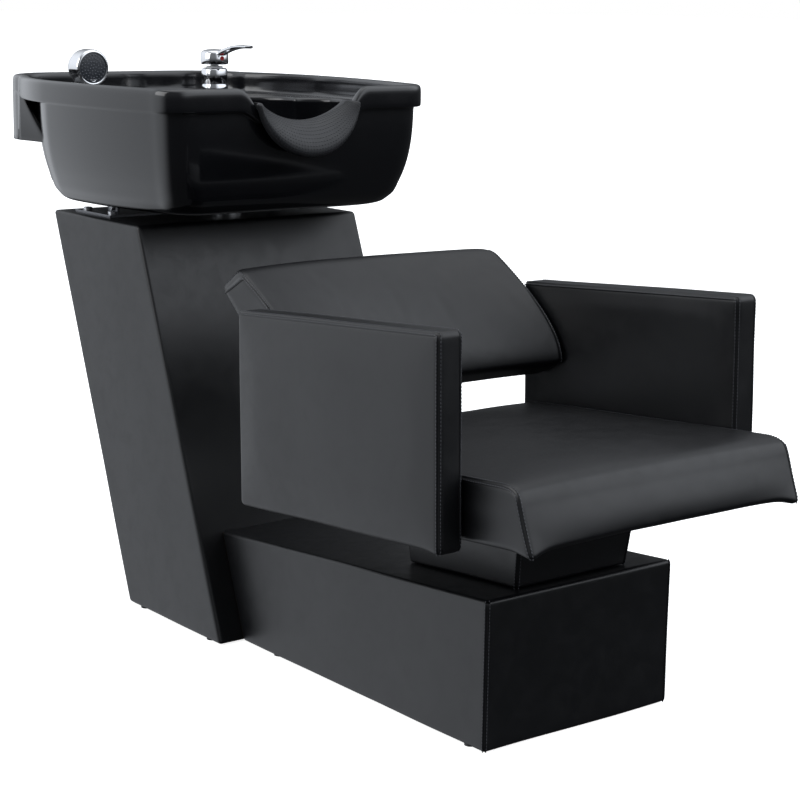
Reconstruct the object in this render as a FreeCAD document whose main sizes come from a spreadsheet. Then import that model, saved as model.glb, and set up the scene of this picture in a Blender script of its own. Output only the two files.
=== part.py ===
"""Salon shampoo backwash unit: a leather-covered column and plinth, a fixed seat with arms,
and a tilting basin with mixer tap and hand shower.  Millimetres, +Z up, the sitter faces -Y.
The origin is on the floor, below the middle of the unit."""
import FreeCAD
import Part
import math
import os
import re
import Sketcher

Vector = FreeCAD.Vector
doc = FreeCAD.newDocument("BackwashUnit")
sheet = doc.addObject("Spreadsheet::Sheet", "Sizes")

SIZES = {
    # overall
    "overall_length": 1374, "floor_gap": 2, "glide_height": 4, "glide_radius": 8,
    # upholstered carcasses
    "board": 16, "cover": 3, "cover_radius": 5,
    "column_front": 20, "column_width": 414, "column_depth": 266, "column_height": 608,
    "column_lean": 226, "rail_height": 90, "panel_margin": 34, "panel_bottom": 44, "panel_gap": 1,
    "slot_width": 108, "slot_length": 90,
    "plinth_width": 332, "plinth_length": 558, "plinth_front_height": 208, "plinth_rear_height": 160,
    # pedestal between plinth and seat
    "pedestal_setback": 21, "pedestal_length": 223, "pedestal_width": 198, "pedestal_flare": 12,
    # seat and arms, in a frame that tips back by seat_tilt at the arms' lower front corner
    "seat_tilt": 4.3, "arm_setback": 119, "arm_bottom": 296, "arm_length": 435, "arm_height": 272,
    "arm_rake": 13, "arm_thickness": 40, "arm_radius": 9, "arm_core": 22, "arm_gap": 1.5,
    "seat_width": 476, "seat_rear": 402, "seat_bottom": 9, "seat_side_top": 91, "seat_crown": 12,
    "seat_front_radius": 34, "seat_board_inset": 12,
    # backrest
    "back_width": 468, "back_bottom_height": 401, "back_top_height": 583,
    "back_bottom_place": -177, "back_top_place": -28, "back_thickness": 50, "back_wrap": 64,
    "back_top_wrap": 30, "back_knee": 54, "back_shell": 12, "back_plate": 4,
    # bowl
    "bowl_front": 97, "bowl_front_half": 245, "bowl_half": 268, "bowl_half_place": 430,
    "bowl_rear_half": 222, "bowl_front_radius": 46, "bowl_rear_radius": 95, "bowl_wall": 5,
    "hose_way_half": 155, "hose_way_rear": 660,
    "rim_height": 820, "rim_band": 35, "rim_width": 14, "bowl_bottom": 626, "ledge_width": 14,
    "deck_front": 500, "skirt_height": 105, "skirt_front": 585,
    "notch_half": 118, "notch_throat": 88, "notch_bottom": 765, "notch_shoulder": 800,
    "rest_depth": 26, "rest_drop": 49, "rest_skin": 6,
    # tilt mechanism
    "tilt_place": 415, "tilt_height": 617.5, "plate": 4, "plate_width": 380,
    "plate_length": 110, "ear_place": 150, "ear": 3, "ear_clearance": 0.4, "pivot_radius": 3,
    "pivot_clearance": 0.05, "cradle_length": 120,
    # waste
    "drain_place": 315, "drain_neck_radius": 24, "drain_lip_radius": 38, "tail_radius": 20,
    "tail_wall": 2, "tail_bottom": 470, "tail_stop": 540, "tail_bead": 2, "strainer_radius": 18,
    # taps
    "tap_spread": 121, "tap_place": 539, "mixer_radius": 22, "mixer_shoulder": 830,
    "mixer_cap_bottom": 836, "mixer_cap_top": 861, "mixer_cap_radius": 24, "lever_reach": 112,
    "lever_rise": 18, "stem_radius": 7,
    "inlet_radius": 5, "inlet_length": 25, "inlet_spread": 7, "shank_radius": 15, "shank_length": 45,
    "handset_lean": 35, "drum_radius": 30, "drum_depth": 42, "drum_height": 833, "drum_offset": 8,
    "handle_radius": 12.5, "handle_clearance": 0.5, "handle_length": 100, "holder_wall": 5,
    "hose_thread_radius": 9, "hose_thread_length": 14,
    # fasteners
    "screw_radius": 2, "bolt_radius": 4, "bolt_head": 7,
}
for row, (alias, number) in enumerate(SIZES.items(), start=1):
    sheet.set("A%d" % row, alias)
    sheet.set("B%d" % row, str(number))
    sheet.setAlias("B%d" % row, alias)
doc.recompute()

nodes = []


def bound(expression):
    """The expression with each size written as a cell of the sheet."""
    return re.sub(r"\b([a-z][a-z_]*)\b(?!\()", r"Sizes.\1", expression)


def value(expression):
    """What an expression of sheet sizes comes to."""
    return float(sheet.evalExpression(expression))


def bind(thing, prop, expression):
    thing.setExpression(prop, bound(expression))


def keep(thing, label):
    """Name a finished sub-part; its label is its node and its file."""
    thing.Label = label
    nodes.append(thing)
    return thing


# ------------------------------------------------------------------ how sub-parts are made
def plane_of(body, role):
    return next(f for f in body.Origin.OriginFeatures if f.Role == role)


def outline(body, name, role, points, start=None):
    """A closed polygon whose corners are pairs of expressions, on one of the body's planes."""
    sketch = body.newObject("Sketcher::SketchObject", name)
    sketch.AttachmentSupport = [(plane_of(body, role), "")]
    sketch.MapMode = "FlatFace"
    if start:
        bind(sketch, "AttachmentOffset.Base.z", start)
    corners = [Vector(value(across), value(up), 0) for across, up in points]
    for number, corner in enumerate(corners):
        sketch.addGeometry(Part.LineSegment(corner, corners[(number + 1) % len(corners)]))
    for number, (across, up) in enumerate(points):
        sketch.addConstraint(Sketcher.Constraint("Coincident", number, 2, (number + 1) % len(points), 1))
        for kind, expression in (("DistanceX", across), ("DistanceY", up)):
            place = sketch.addConstraint(
                Sketcher.Constraint(kind, -1, 1, number, 1, value(expression)))
            bind(sketch, "Constraints[%d]" % place, expression)
    return sketch


def prism(label, points, width, start=None, placed=None):
    """A pad of a side outline (Y, Z) across X: centred, or from start to start + width."""
    body = doc.addObject("PartDesign::Body", label)
    sketch = outline(body, label + "_side", "YZ_Plane", points, start)
    pad = body.newObject("PartDesign::Pad", label + "_pad")
    pad.Profile = sketch
    bind(pad, "Length", width)
    if start is None:
        pad.SideType = "Symmetric"
    if placed:
        place(body, placed)
    return keep(body, label)


def hollow(body, points, width):
    """Cut the inside of a cover out of its body with a centred pocket."""
    sketch = outline(body, body.Name + "_inside", "YZ_Plane", points)
    pocket = body.newObject("PartDesign::Pocket", body.Name + "_hollow")
    pocket.Profile = sketch
    pocket.SideType = "Symmetric"
    bind(pocket, "Length", width)


def round_edges(body, radius, chosen):
    """Fillet the edges of the body's last feature that chosen(edge) picks."""
    doc.recompute()
    tip = body.Tip
    names = ["Edge%d" % n for n, edge in enumerate(tip.Shape.Edges, start=1) if chosen(edge)]
    fillet = body.newObject("PartDesign::Fillet", body.Name + "_rounds")
    fillet.Base = (tip, names)
    bind(fillet, "Radius", radius)


def place(thing, base, rotation=None):
    for axis, expression in zip("xyz", base):
        bind(thing, ".Placement.Base." + axis, expression)
    if rotation:
        axis, angle = rotation
        for name, part in zip("xyz", axis):
            bind(thing, ".Placement.Rotation.Axis." + name, str(part))
        bind(thing, ".Placement.Rotation.Angle", angle)


def turned(label, profile, base, rotation=None):
    """A revolved piece: profile corners are (radius, height) about its own upright axis."""
    body = doc.addObject("PartDesign::Body", label)
    sketch = outline(body, label + "_profile", "XZ_Plane", profile)
    turn = body.newObject("PartDesign::Revolution", label + "_turned")
    turn.Profile = sketch
    turn.ReferenceAxis = (sketch, ["V_Axis"])
    turn.Angle = 360
    place(body, base, rotation)
    return keep(body, label)


def own_shape(label, shape):
    """A sub-part whose form neither features nor primitives give."""
    feature = doc.addObject("Part::Feature", label)
    feature.Shape = shape
    return keep(feature, label)


def block(x_span, y_span, z_span):
    """A solid box between pairs of coordinates."""
    (x0, x1), (y0, y1), (z0, z1) = x_span, y_span, z_span
    return Part.makeBox(x1 - x0, y1 - y0, z1 - z0, Vector(x0, y0, z0))


def rod(radius, start, direction, length):
    return Part.makeCylinder(radius, length, Vector(*start), Vector(*direction))


# ------------------------------------------------------------------ column
def column_face(height, inset="0"):
    """Y of the column's slanting front at a height, moved back by inset."""
    return "column_front + column_lean*(%s)/column_height + %s" % (height, inset)


COLUMN_BACK = "column_depth - cover"
COLUMN_TOP = "column_height - cover"
INNER_HALF = "column_width/2 - cover"


def slanted(bottom, top, front, back):
    """Side outline between two heights, with front and back parallel to the column's lean."""
    return [(column_face(bottom, front), bottom), (column_face(bottom, back), bottom),
            (column_face(top, back), top), (column_face(top, front), top)]


def column():
    top = "column_height"
    skin = prism("column_cover", slanted("floor_gap", top, "0", "column_depth"), "column_width")
    round_edges(skin, "cover_radius", lambda edge: edge.BoundBox.ZMax > value("column_height") - 1
                or edge.BoundBox.ZLength > value("column_height") / 2)
    hollow(skin, slanted("floor_gap - board", COLUMN_TOP, "cover", COLUMN_BACK),
           "column_width - 2*cover")
    window = outline(skin, "column_cover_window", "YZ_Plane",
                     slanted("panel_bottom", "column_height - panel_bottom",
                             "column_depth - 2*cover", "column_depth + cover"))
    cut = skin.newObject("PartDesign::Pocket", "column_cover_service")
    cut.Profile = window
    cut.SideType = "Symmetric"
    bind(cut, "Length", "column_width - 2*panel_margin")
    slot_through(skin)

    side = slanted("glide_height", COLUMN_TOP, "cover", COLUMN_BACK)
    prism("column_side_left", side, "board", "cover - column_width/2")
    prism("column_side_right", side, "board", "column_width/2 - cover - board")
    between = "column_width - 2*cover - 2*board"
    prism("column_front_board", slanted("glide_height", COLUMN_TOP, "cover", "cover + board"), between)
    prism("column_lower_rail", slanted("glide_height", "rail_height", COLUMN_BACK + " - board",
                                       COLUMN_BACK), between)
    prism("column_upper_rail", slanted(COLUMN_TOP + " - rail_height", COLUMN_TOP,
                                       COLUMN_BACK + " - board", COLUMN_BACK), between)
    lid = prism("column_top_board", slanted(COLUMN_TOP + " - board", COLUMN_TOP, "cover + board",
                                            COLUMN_BACK + " - board"), between)
    slot_through(lid)
    prism("service_panel", slanted("panel_bottom + panel_gap", "column_height - panel_bottom - panel_gap",
                                   COLUMN_BACK, "column_depth"),
          "column_width - 2*panel_margin - 2*panel_gap")


def slot_through(body):
    """The opening in the column's top for the waste and the water hoses."""
    sketch = outline(body, body.Name + "_slot", "XY_Plane",
                     [("-slot_width/2", "drain_place - slot_length/2"),
                      ("slot_width/2", "drain_place - slot_length/2"),
                      ("slot_width/2", "drain_place + slot_length/2"),
                      ("-slot_width/2", "drain_place + slot_length/2")],
                     "column_height - cover - board - 1")
    pocket = body.newObject("PartDesign::Pocket", body.Name + "_slot_cut")
    pocket.Profile = sketch
    pocket.Reversed = True
    bind(pocket, "Length", "board + 2*cover + 1")


# ------------------------------------------------------------------ plinth and pedestal
PLINTH_FRONT = "column_front - plinth_length"


def plinth_top(y):
    """Height of the plinth's sloping top at a Y."""
    return ("plinth_front_height - (plinth_front_height - plinth_rear_height)"
            "*(%s - column_front + plinth_length)"
            "/(plinth_length + column_lean*plinth_rear_height/column_height)" % y)


def sloped(bottom, front, drop):
    """Side outline from a level bottom to the sloping top less drop, up to the column's front."""
    rear_top = "plinth_rear_height - " + drop
    return [(front, bottom), (column_face(bottom), bottom),
            (column_face(rear_top), rear_top), (front, plinth_top(front) + " - " + drop)]


def plinth():
    skin = prism("plinth_cover", sloped("floor_gap", PLINTH_FRONT, "0"), "plinth_width")
    front = value(PLINTH_FRONT)
    round_edges(skin, "cover_radius", lambda edge: edge.BoundBox.YMax < front + 1
                and edge.BoundBox.ZMax > value("floor_gap") + 1
                or edge.BoundBox.ZMin > value("plinth_rear_height") - 2)
    inside = sloped("floor_gap - board", PLINTH_FRONT + " + cover", "cover")
    inside[1] = (column_face("0", "board"), "floor_gap - board")
    inside[2] = (column_face("plinth_rear_height", "board"), "plinth_rear_height - cover")
    hollow(skin, inside, "plinth_width - 2*cover")

    side = sloped("glide_height", PLINTH_FRONT + " + cover", "cover")
    prism("plinth_side_left", side, "board", "cover - plinth_width/2")
    prism("plinth_side_right", side, "board", "plinth_width/2 - cover - board")
    between = "plinth_width - 2*cover - 2*board"
    board_back = PLINTH_FRONT + " + cover + board"
    prism("plinth_front_board",
          [(PLINTH_FRONT + " + cover", "glide_height"), (board_back, "glide_height"),
           (board_back, plinth_top(board_back) + " - cover"),
           (PLINTH_FRONT + " + cover", plinth_top(PLINTH_FRONT + " + cover") + " - cover")], between)
    low = "plinth_rear_height - cover - board"
    high = "plinth_rear_height - cover"
    prism("plinth_top_board",
          [(board_back, plinth_top(board_back) + " - cover - board"), (column_face(low), low),
           (column_face(high), high), (board_back, plinth_top(board_back) + " - cover")], between)
    prism("plinth_floor_board",
          [(board_back, "glide_height"), (column_face("glide_height"), "glide_height"),
           (column_face("glide_height + board"), "glide_height + board"),
           (board_back, "glide_height + board")], between)


def seat_point(along, up):
    """Y and Z of a place in the seat's tipped frame."""
    tilt = math.radians(value("seat_tilt"))
    y = value("arm_setback - overall_length/2") + along * math.cos(tilt) + up * math.sin(tilt)
    z = value("arm_bottom") - along * math.sin(tilt) + up * math.cos(tilt)
    return y, z


def seat_underside(y):
    """Height of the seat's flat underside at a Y."""
    tilt = math.radians(value("seat_tilt"))
    start_y, start_z = seat_point(0, value("seat_bottom"))
    return start_z - (y - start_y) * math.tan(tilt)


def pedestal_block(inset):
    """The pedestal's flared block, drawn in by inset on its four sides."""
    front = value(PLINTH_FRONT + " + pedestal_setback")
    back = front + value("pedestal_length")
    half = value("pedestal_width") / 2
    flare = value("pedestal_flare")
    rings = []
    for grow, height in ((0, lambda y: value(plinth_top("%.6f" % y))), (flare, seat_underside)):
        y0, y1 = front - grow + inset, back + grow - inset
        x = half + grow / 2 - inset
        corners = [Vector(-x, y0, height(y0)), Vector(x, y0, height(y0)),
                   Vector(x, y1, height(y1)), Vector(-x, y1, height(y1))]
        rings.append(Part.makePolygon(corners + corners[:1]))
    return Part.makeLoft(rings, True, True)


def pedestal():
    cover, board = value("cover"), value("board")
    own_shape("pedestal_cover", pedestal_block(0).cut(pedestal_block(cover)))
    own_shape("pedestal_frame", pedestal_block(cover).cut(pedestal_block(cover + board)))


def glides():
    radius, tall = value("glide_radius"), value("glide_height")
    spots = []
    inset = value("cover + board/2")
    for side in (-1, 1):
        x = side * (value("plinth_width") / 2 - inset)
        spots += [(x, value(PLINTH_FRONT) + 40), (x, -60)]
        x = side * (value("column_width") / 2 - inset)
        spots += [(x, value("column_front") + 40), (x, value("column_front + column_depth") - 34)]
    own_shape("floor_glides", Part.makeCompound([rod(radius, (x, y, 0), (0, 0, 1), tall)
                                                 for x, y in spots]))


# ------------------------------------------------------------------ seat, arms and backrest
SEAT_FRAME = ("0", "arm_setback - overall_length/2", "arm_bottom")
SEAT_TURN = ((1, 0, 0), "-seat_tilt")


def arm_outline(inset):
    low, high = inset, "arm_height - " + inset
    shift = "arm_rake*(%s)/arm_height"
    return [("%s - %s" % (inset, shift % low), low), ("arm_length - %s - %s" % (inset, shift % low), low),
            ("arm_length - %s - %s" % (inset, shift % high), high),
            ("%s - %s" % (inset, shift % high), high)]


def arms():
    skin = "(arm_thickness - arm_core)/2"
    for side, start in (("left", "-seat_width/2 - arm_gap - arm_thickness"),
                        ("right", "seat_width/2 + arm_gap")):
        pad = prism("arm_pad_" + side, arm_outline("0"), "arm_thickness", start)
        round_edges(pad, "arm_radius", lambda edge: True)
        core = prism("arm_core_" + side, arm_outline(skin), "arm_core", start + " + " + skin)
        cut = outline(pad, pad.Name + "_inside", "YZ_Plane", arm_outline(skin), start + " + " + skin)
        pocket = pad.newObject("PartDesign::Pocket", pad.Name + "_hollow")
        pocket.Profile = cut
        pocket.Reversed = True
        bind(pocket, "Length", "arm_core")
        for piece in (pad, core):
            place(piece, SEAT_FRAME, SEAT_TURN)


def seat():
    front = "-arm_setback"
    top = "seat_side_top"
    cushion = prism("seat_cushion",
                    [(front, "seat_bottom"), ("seat_rear", "seat_bottom"), ("seat_rear", top),
                     ("seat_rear/2 + arm_setback/4", top + " + seat_crown"),
                     (front + " + seat_front_radius", top + " + seat_crown/3"), (front, top + " - board")],
                    "seat_width")
    round_edges(cushion, "seat_front_radius/4", lambda edge: edge.BoundBox.ZMin > value("seat_bottom") + 9)
    doc.recompute()
    inside = [("seat_board_inset - arm_setback", "seat_bottom - board"),
              ("seat_rear - seat_board_inset", "seat_bottom - board"),
              ("seat_rear - seat_board_inset", "seat_bottom + board"),
              ("seat_board_inset - arm_setback", "seat_bottom + board")]
    hollow(cushion, inside, "seat_width - 2*seat_board_inset")
    board = prism("seat_board", [("seat_board_inset - arm_setback", "seat_bottom"),
                                 ("seat_rear - seat_board_inset", "seat_bottom"),
                                 ("seat_rear - seat_board_inset", "seat_bottom + board"),
                                 ("seat_board_inset - arm_setback", "seat_bottom + board")],
                  "seat_width - 2*seat_board_inset")
    for piece in (cushion, board):
        place(piece, SEAT_FRAME, SEAT_TURN)


def back_section(x, front_skin, rear_skin, ends):
    """Cross-section of the backrest at x: a reclined slab that wraps forward towards its ends."""
    bend = (x / (value("back_width") / 2)) ** 2
    low = Vector(0, value("back_bottom_place") - value("back_wrap") * bend,
                 value("back_bottom_height") + 15 * bend)
    knee = low + Vector(0, 4 * (1 - bend), value("back_knee") * (0.7 + 0.3 * bend))
    high = Vector(0, value("back_top_place") - value("back_top_wrap") * bend,
                  value("back_top_height") - 6 * bend)
    slope = (high - knee).normalize()
    behind = Vector(0, slope.z, -slope.y)
    thick = value("back_thickness")
    front, rear = behind * front_skin, behind * (thick - rear_skin)
    low_end, high_end = slope * ends, slope * -ends
    corners = [low + front + low_end, knee + front, high + front + high_end,
               high + rear + high_end, low + rear + low_end]
    for corner in corners:
        corner.x = x
    return Part.makePolygon(corners + corners[:1])


def back_loft(half, front_skin, rear_skin, ends):
    stations = [-half, -half / 2, 0, half / 2, half]
    return Part.makeLoft([back_section(x, front_skin, rear_skin, ends) for x in stations], True, False)


def backrest():
    half = value("back_width") / 2
    rear_skin = 8
    front_skin = value("back_thickness - back_shell") - rear_skin
    shell = back_loft(half - 16, front_skin, rear_skin, 18)
    own_shape("backrest_shell", shell)
    own_shape("backrest_pad", back_loft(half, 0, 0, 0).cut(shell))
    thick = value("back_plate")
    middle_y = value("back_bottom_place - back_wrap") + 60
    middle_z = value("back_bottom_height") + 62
    for side, sign in (("left", -1), ("right", 1)):
        inner = sign * (half + 0.2)
        span = sorted((inner, inner + sign * thick))
        own_shape("back_plate_" + side,
                  block(span, (middle_y - 28, middle_y + 42), (middle_z - 22, middle_z + 22)))
    reach = value("seat_width/2 + arm_gap + arm_thickness/2") - half + 60
    bolts = [rod(value("bolt_radius"), (sign * (half - 60), middle_y + shift, middle_z),
                 (sign, 0, 0), reach) for sign in (-1, 1) for shift in (-12, 24)]
    own_shape("back_bolts", Part.makeCompound(bolts))


def arm_bolts():
    """Four bolts through the edges of the seat board into the cores of the arms."""
    radius = value("bolt_radius")
    start = value("seat_width/2 - seat_board_inset") - 40
    reach = value("seat_width/2 + arm_gap + arm_thickness/2") - start
    bolts = []
    for sign in (-1, 1):
        for along in (90, 320):
            y, z = seat_point(along, value("seat_bottom + board/2"))
            bolts.append(rod(radius, (sign * start, y, z), (sign, 0, 0), reach))
    own_shape("arm_bolts", Part.makeCompound(bolts))


# ------------------------------------------------------------------ bowl
def bowl_ring(height, side, front, rear):
    """The bowl's outline seen from above, drawn in by side, front and rear, its widest place
    kept ahead of the rear corners."""
    y0, y1 = value("bowl_front") + front, value("overall_length") / 2 - rear
    wide_front, wide = value("bowl_front_half") - side, value("bowl_half") - side
    wide_rear = value("bowl_rear_half") - side
    r0, r1 = value("bowl_front_radius"), value("bowl_rear_radius")
    widest = value("bowl_half_place")
    middle = min(widest, y1 - r1 - 40)
    wide -= (wide - wide_front) * ((widest - middle) / (widest - y0 - r0)) ** 2
    diagonal = math.sqrt(0.5)
    y_mid0, y_mid1 = (y0 + r0 + middle) / 2, (middle + y1 - r1) / 2
    right = [((wide_front - r0 * (1 - diagonal), y0 + r0 * (1 - diagonal)), (wide_front, y0 + r0)),
             (((wide_front + wide) / 2 + 9, y_mid0), (wide, middle)),
             (((wide + wide_rear) / 2 + 9, y_mid1), (wide_rear, y1 - r1)),
             ((wide_rear - r1 * (1 - diagonal), y1 - r1 * (1 - diagonal)), (wide_rear - r1, y1))]
    edges, here = [], Vector(wide_front - r0, y0, height)
    for through, end in right:
        through, end = Vector(*through, height), Vector(*end, height)
        edges.append(Part.Arc(here, through, end).toShape())
        here = end
    across = FreeCAD.Vector(-1, 0, 0)
    mirrored = [edge.mirror(Vector(0, 0, 0), across) for edge in edges]
    rear_line = Part.makeLine(here, Vector(-here.x, here.y, height))
    front_x = wide_front - r0
    front_line = Part.makeLine(Vector(-front_x, y0, height), Vector(front_x, y0, height))
    return Part.Wire(Part.__sortEdges__([front_line] + edges + [rear_line] + mirrored))


# outside of the basin below the rim: share of the height from bottom to band, and how far it
# is drawn in at the sides, front and rear
BOWL_PROFILE = ((0.0, 85, 85, 100), (0.025, 56, 56, 88), (0.088, 39, 37, 76), (0.25, 25, 23, 73),
                (0.465, 15.5, 13.5, 71), (0.72, 10, 9, 69), (1.0, 8, 8, 66))


def bowl_loft(wall, top_side, rear_limit):
    """The basin's outside, or with a wall its inside, as rings joined from the bottom up."""
    low, high = value("bowl_bottom"), value("rim_height - rim_band")
    rings = []
    for share, side, front, rear in BOWL_PROFILE:
        height = low + wall + share * (high - low - wall)
        rings.append(bowl_ring(height, side + wall + top_side * share, front + wall + top_side * share,
                               max(rear + wall, rear_limit)))
    return Part.makeLoft(rings, True, True)


def ring_prism(inset, low, high):
    return Part.Face(bowl_ring(low, inset, inset, inset)).extrude(Vector(0, 0, high - low))


def notch_tool(lift, near, far):
    """The neck notch as a prism along Y, its throat raised by lift."""
    half, throat = value("notch_half"), value("notch_throat")
    shoulder, bottom, top = value("notch_shoulder"), value("notch_bottom"), value("rim_height") + 5
    curve = Part.Arc(Vector(-throat, near, shoulder + lift), Vector(0, near, bottom + lift),
                     Vector(throat, near, shoulder + lift)).toShape()
    corners = [Vector(throat, near, shoulder + lift), Vector(half, near, top),
               Vector(-half, near, top), Vector(-throat, near, shoulder + lift)]
    face = Part.Face(Part.Wire([curve] + Part.makePolygon(corners).Edges))
    return face.extrude(Vector(0, far - near, 0))


def handset_axis():
    """A point on the hand shower's handle and the direction in which it pulls out."""
    lean = math.radians(value("handset_lean"))
    start = Vector(-value("tap_spread"), value("tap_place + drum_offset + drum_depth/4"),
                   value("drum_height") - value("drum_radius") / 2)
    return start, Vector(0, -math.sin(lean), math.cos(lean))


def bowl():
    wall, deck = value("bowl_wall"), value("rim_height - rim_band")
    rear = value("overall_length") / 2
    band_top = value("rim_height")
    outside = bowl_loft(0, 0, 0)
    band = ring_prism(0, deck, band_top)
    skirt_low = band_top - value("skirt_height")
    skirt = ring_prism(0, skirt_low, deck).cut(ring_prism(wall, skirt_low - 1, deck + 1))
    skirt = skirt.common(block((-400, 400), (value("skirt_front"), rear + 10), (0, 900)))
    basin_rear = rear - value("deck_front")
    inside = bowl_loft(wall, value("ledge_width"), basin_rear)
    ledge = 8 + wall + value("ledge_width")
    throat = Part.Face(bowl_ring(deck, ledge, ledge, basin_rear)).extrude(Vector(0, 0, 1))
    recess = ring_prism(value("rim_width"), deck, band_top + 5)
    chamber = bowl_loft(wall, 0, 0).common(
        block((-400, 400), (value("deck_front") + wall, rear), (0, deck - wall)))
    way = value("hose_way_half")
    hose_way = block((-way, way), (value("deck_front + 2*bowl_wall"), value("hose_way_rear")),
                     (value("bowl_bottom - 10"), deck - wall))
    shape = outside.fuse([band, skirt])
    shape = shape.cut([inside, throat, recess, chamber, hose_way])
    shape = shape.cut(notch_tool(0, value("bowl_front") - 5, value("bowl_front") + 60))
    drain = rod(value("drain_neck_radius") + 0.4, (0, value("drain_place"), 600), (0, 0, 1), 60)
    mixer = rod(value("shank_radius") + 0.5, (value("tap_spread"), value("tap_place"), deck - 20),
                (0, 0, 1), 40)
    start, pull = handset_axis()
    sleeve = value("handle_radius + handle_clearance + holder_wall")
    holder = rod(sleeve + 0.3, start - pull * 75, pull, 60)
    shape = shape.cut([drain, mixer, holder])
    own_shape("bowl", shape.removeSplitter())


def neck_rest():
    """A soft crescent in front of the notch, hooked over its lip."""
    near, wall_y = value("bowl_front - rest_depth"), value("bowl_front")
    throat, shoulder, bottom = value("notch_throat"), value("notch_shoulder"), value("notch_bottom")
    skin, drop = value("rest_skin"), value("rest_drop")
    tip = throat + 6
    lower = Part.Arc(Vector(tip, near, shoulder), Vector(0, near, bottom - drop),
                     Vector(-tip, near, shoulder)).toShape()
    upper = Part.Arc(Vector(-throat, near, shoulder + skin), Vector(0, near, bottom + skin),
                     Vector(throat, near, shoulder + skin)).toShape()
    ends = [Part.makeLine(Vector(-tip, near, shoulder), Vector(-throat, near, shoulder + skin)),
            Part.makeLine(Vector(throat, near, shoulder + skin), Vector(tip, near, shoulder))]
    crescent = Part.Face(Part.Wire(Part.__sortEdges__([lower, upper] + ends)))
    body = crescent.extrude(Vector(0, wall_y - near, 0))
    hook = notch_tool(0, wall_y, wall_y + 36).cut(notch_tool(skin, wall_y - 1, wall_y + 40))
    hook = hook.common(block((-throat + 2, throat - 2), (0, 300), (bottom - 5, shoulder + skin)))
    own_shape("neck_rest", body.fuse(hook).removeSplitter())


# ------------------------------------------------------------------ tilt mechanism
def tilt_mechanism():
    y, height = value("tilt_place"), value("tilt_height")
    deck, thick = value("column_height"), value("plate")
    half, ear, ear_x = value("plate_width") / 2, value("ear"), value("ear_place")
    length, radius = value("plate_length"), value("pivot_radius")
    clearance = value("ear_clearance")
    base = block((-half, half), (y - length / 2, y + length / 2), (deck, deck + thick))
    bottom = value("bowl_bottom")
    cradle_length = value("cradle_length")
    inner = ear_x - clearance
    cradle = block((-inner, inner), (y - cradle_length / 2, y + cradle_length / 2), (bottom - ear, bottom))
    for sign in (-1, 1):
        outer_span = sorted((sign * ear_x, sign * (ear_x + ear)))
        base = base.fuse(block(outer_span, (y - 15, y + 15), (deck + thick, bottom - ear)))
        inner_span = sorted((sign * inner, sign * (inner - ear)))
        cradle = cradle.fuse(block(inner_span, (y - 8, y + 8), (height - 4.4, bottom - ear)))
    across = (1, 0, 0)
    base = base.cut(rod(radius, (-half - 1, y, height), across, 2 * half + 2))
    for sign in (-1, 1):
        base = base.cut(rod(value("bolt_radius"), (sign * (half - 14), y - length / 2 + 16, deck - 1),
                            (0, 0, 1), thick + 2))
        base = base.cut(rod(value("bolt_radius"), (sign * (half - 14), y + length / 2 - 16, deck - 1),
                            (0, 0, 1), thick + 2))
    cradle = cradle.cut(rod(radius + value("pivot_clearance"), (-half, y, height), across, 2 * half))
    own_shape("tilt_base_plate", base.removeSplitter())
    own_shape("bowl_cradle", cradle.removeSplitter())
    pins, nuts = [], []
    for sign in (-1, 1):
        end = sign * (ear_x + ear)
        direction = (-sign, 0, 0)
        head = rod(5, (end + sign * 4, y, height), direction, 4)
        pins.append(head.fuse(rod(radius, (end, y, height), direction, 2 * ear + clearance + 5)))
        nut = rod(5, (sign * (inner - ear - 0.3), y, height), direction, 4)
        nuts.append(nut.cut(rod(radius, (sign * ear_x, y, height), direction, 30)))
    own_shape("pivot_bolts", Part.makeCompound(pins))
    own_shape("pivot_nuts", Part.makeCompound(nuts))
    heads = []
    for sign in (-1, 1):
        for shift in (-length / 2 + 16, length / 2 - 16):
            spot = (sign * (half - 14), y + shift)
            cap = rod(value("bolt_head"), spot + (deck + thick,), (0, 0, 1), 4)
            heads.append(cap.fuse(rod(value("bolt_radius"), spot + (deck - 30,), (0, 0, 1), 30 + thick)))
    own_shape("base_plate_bolts", Part.makeCompound(heads))
    screws = [rod(2.5, (sign * 90, y + shift, bottom - ear), (0, 0, 1), ear + 4)
              for sign in (-1, 1) for shift in (-50, 50)]
    own_shape("cradle_screws", Part.makeCompound(screws))


# ------------------------------------------------------------------ waste
def ring(label, inner, outer, low, high, base=("0", "drain_place", "0")):
    return turned(label, [(inner, low), (outer, low), (outer, high), (inner, high)], base)


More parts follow.
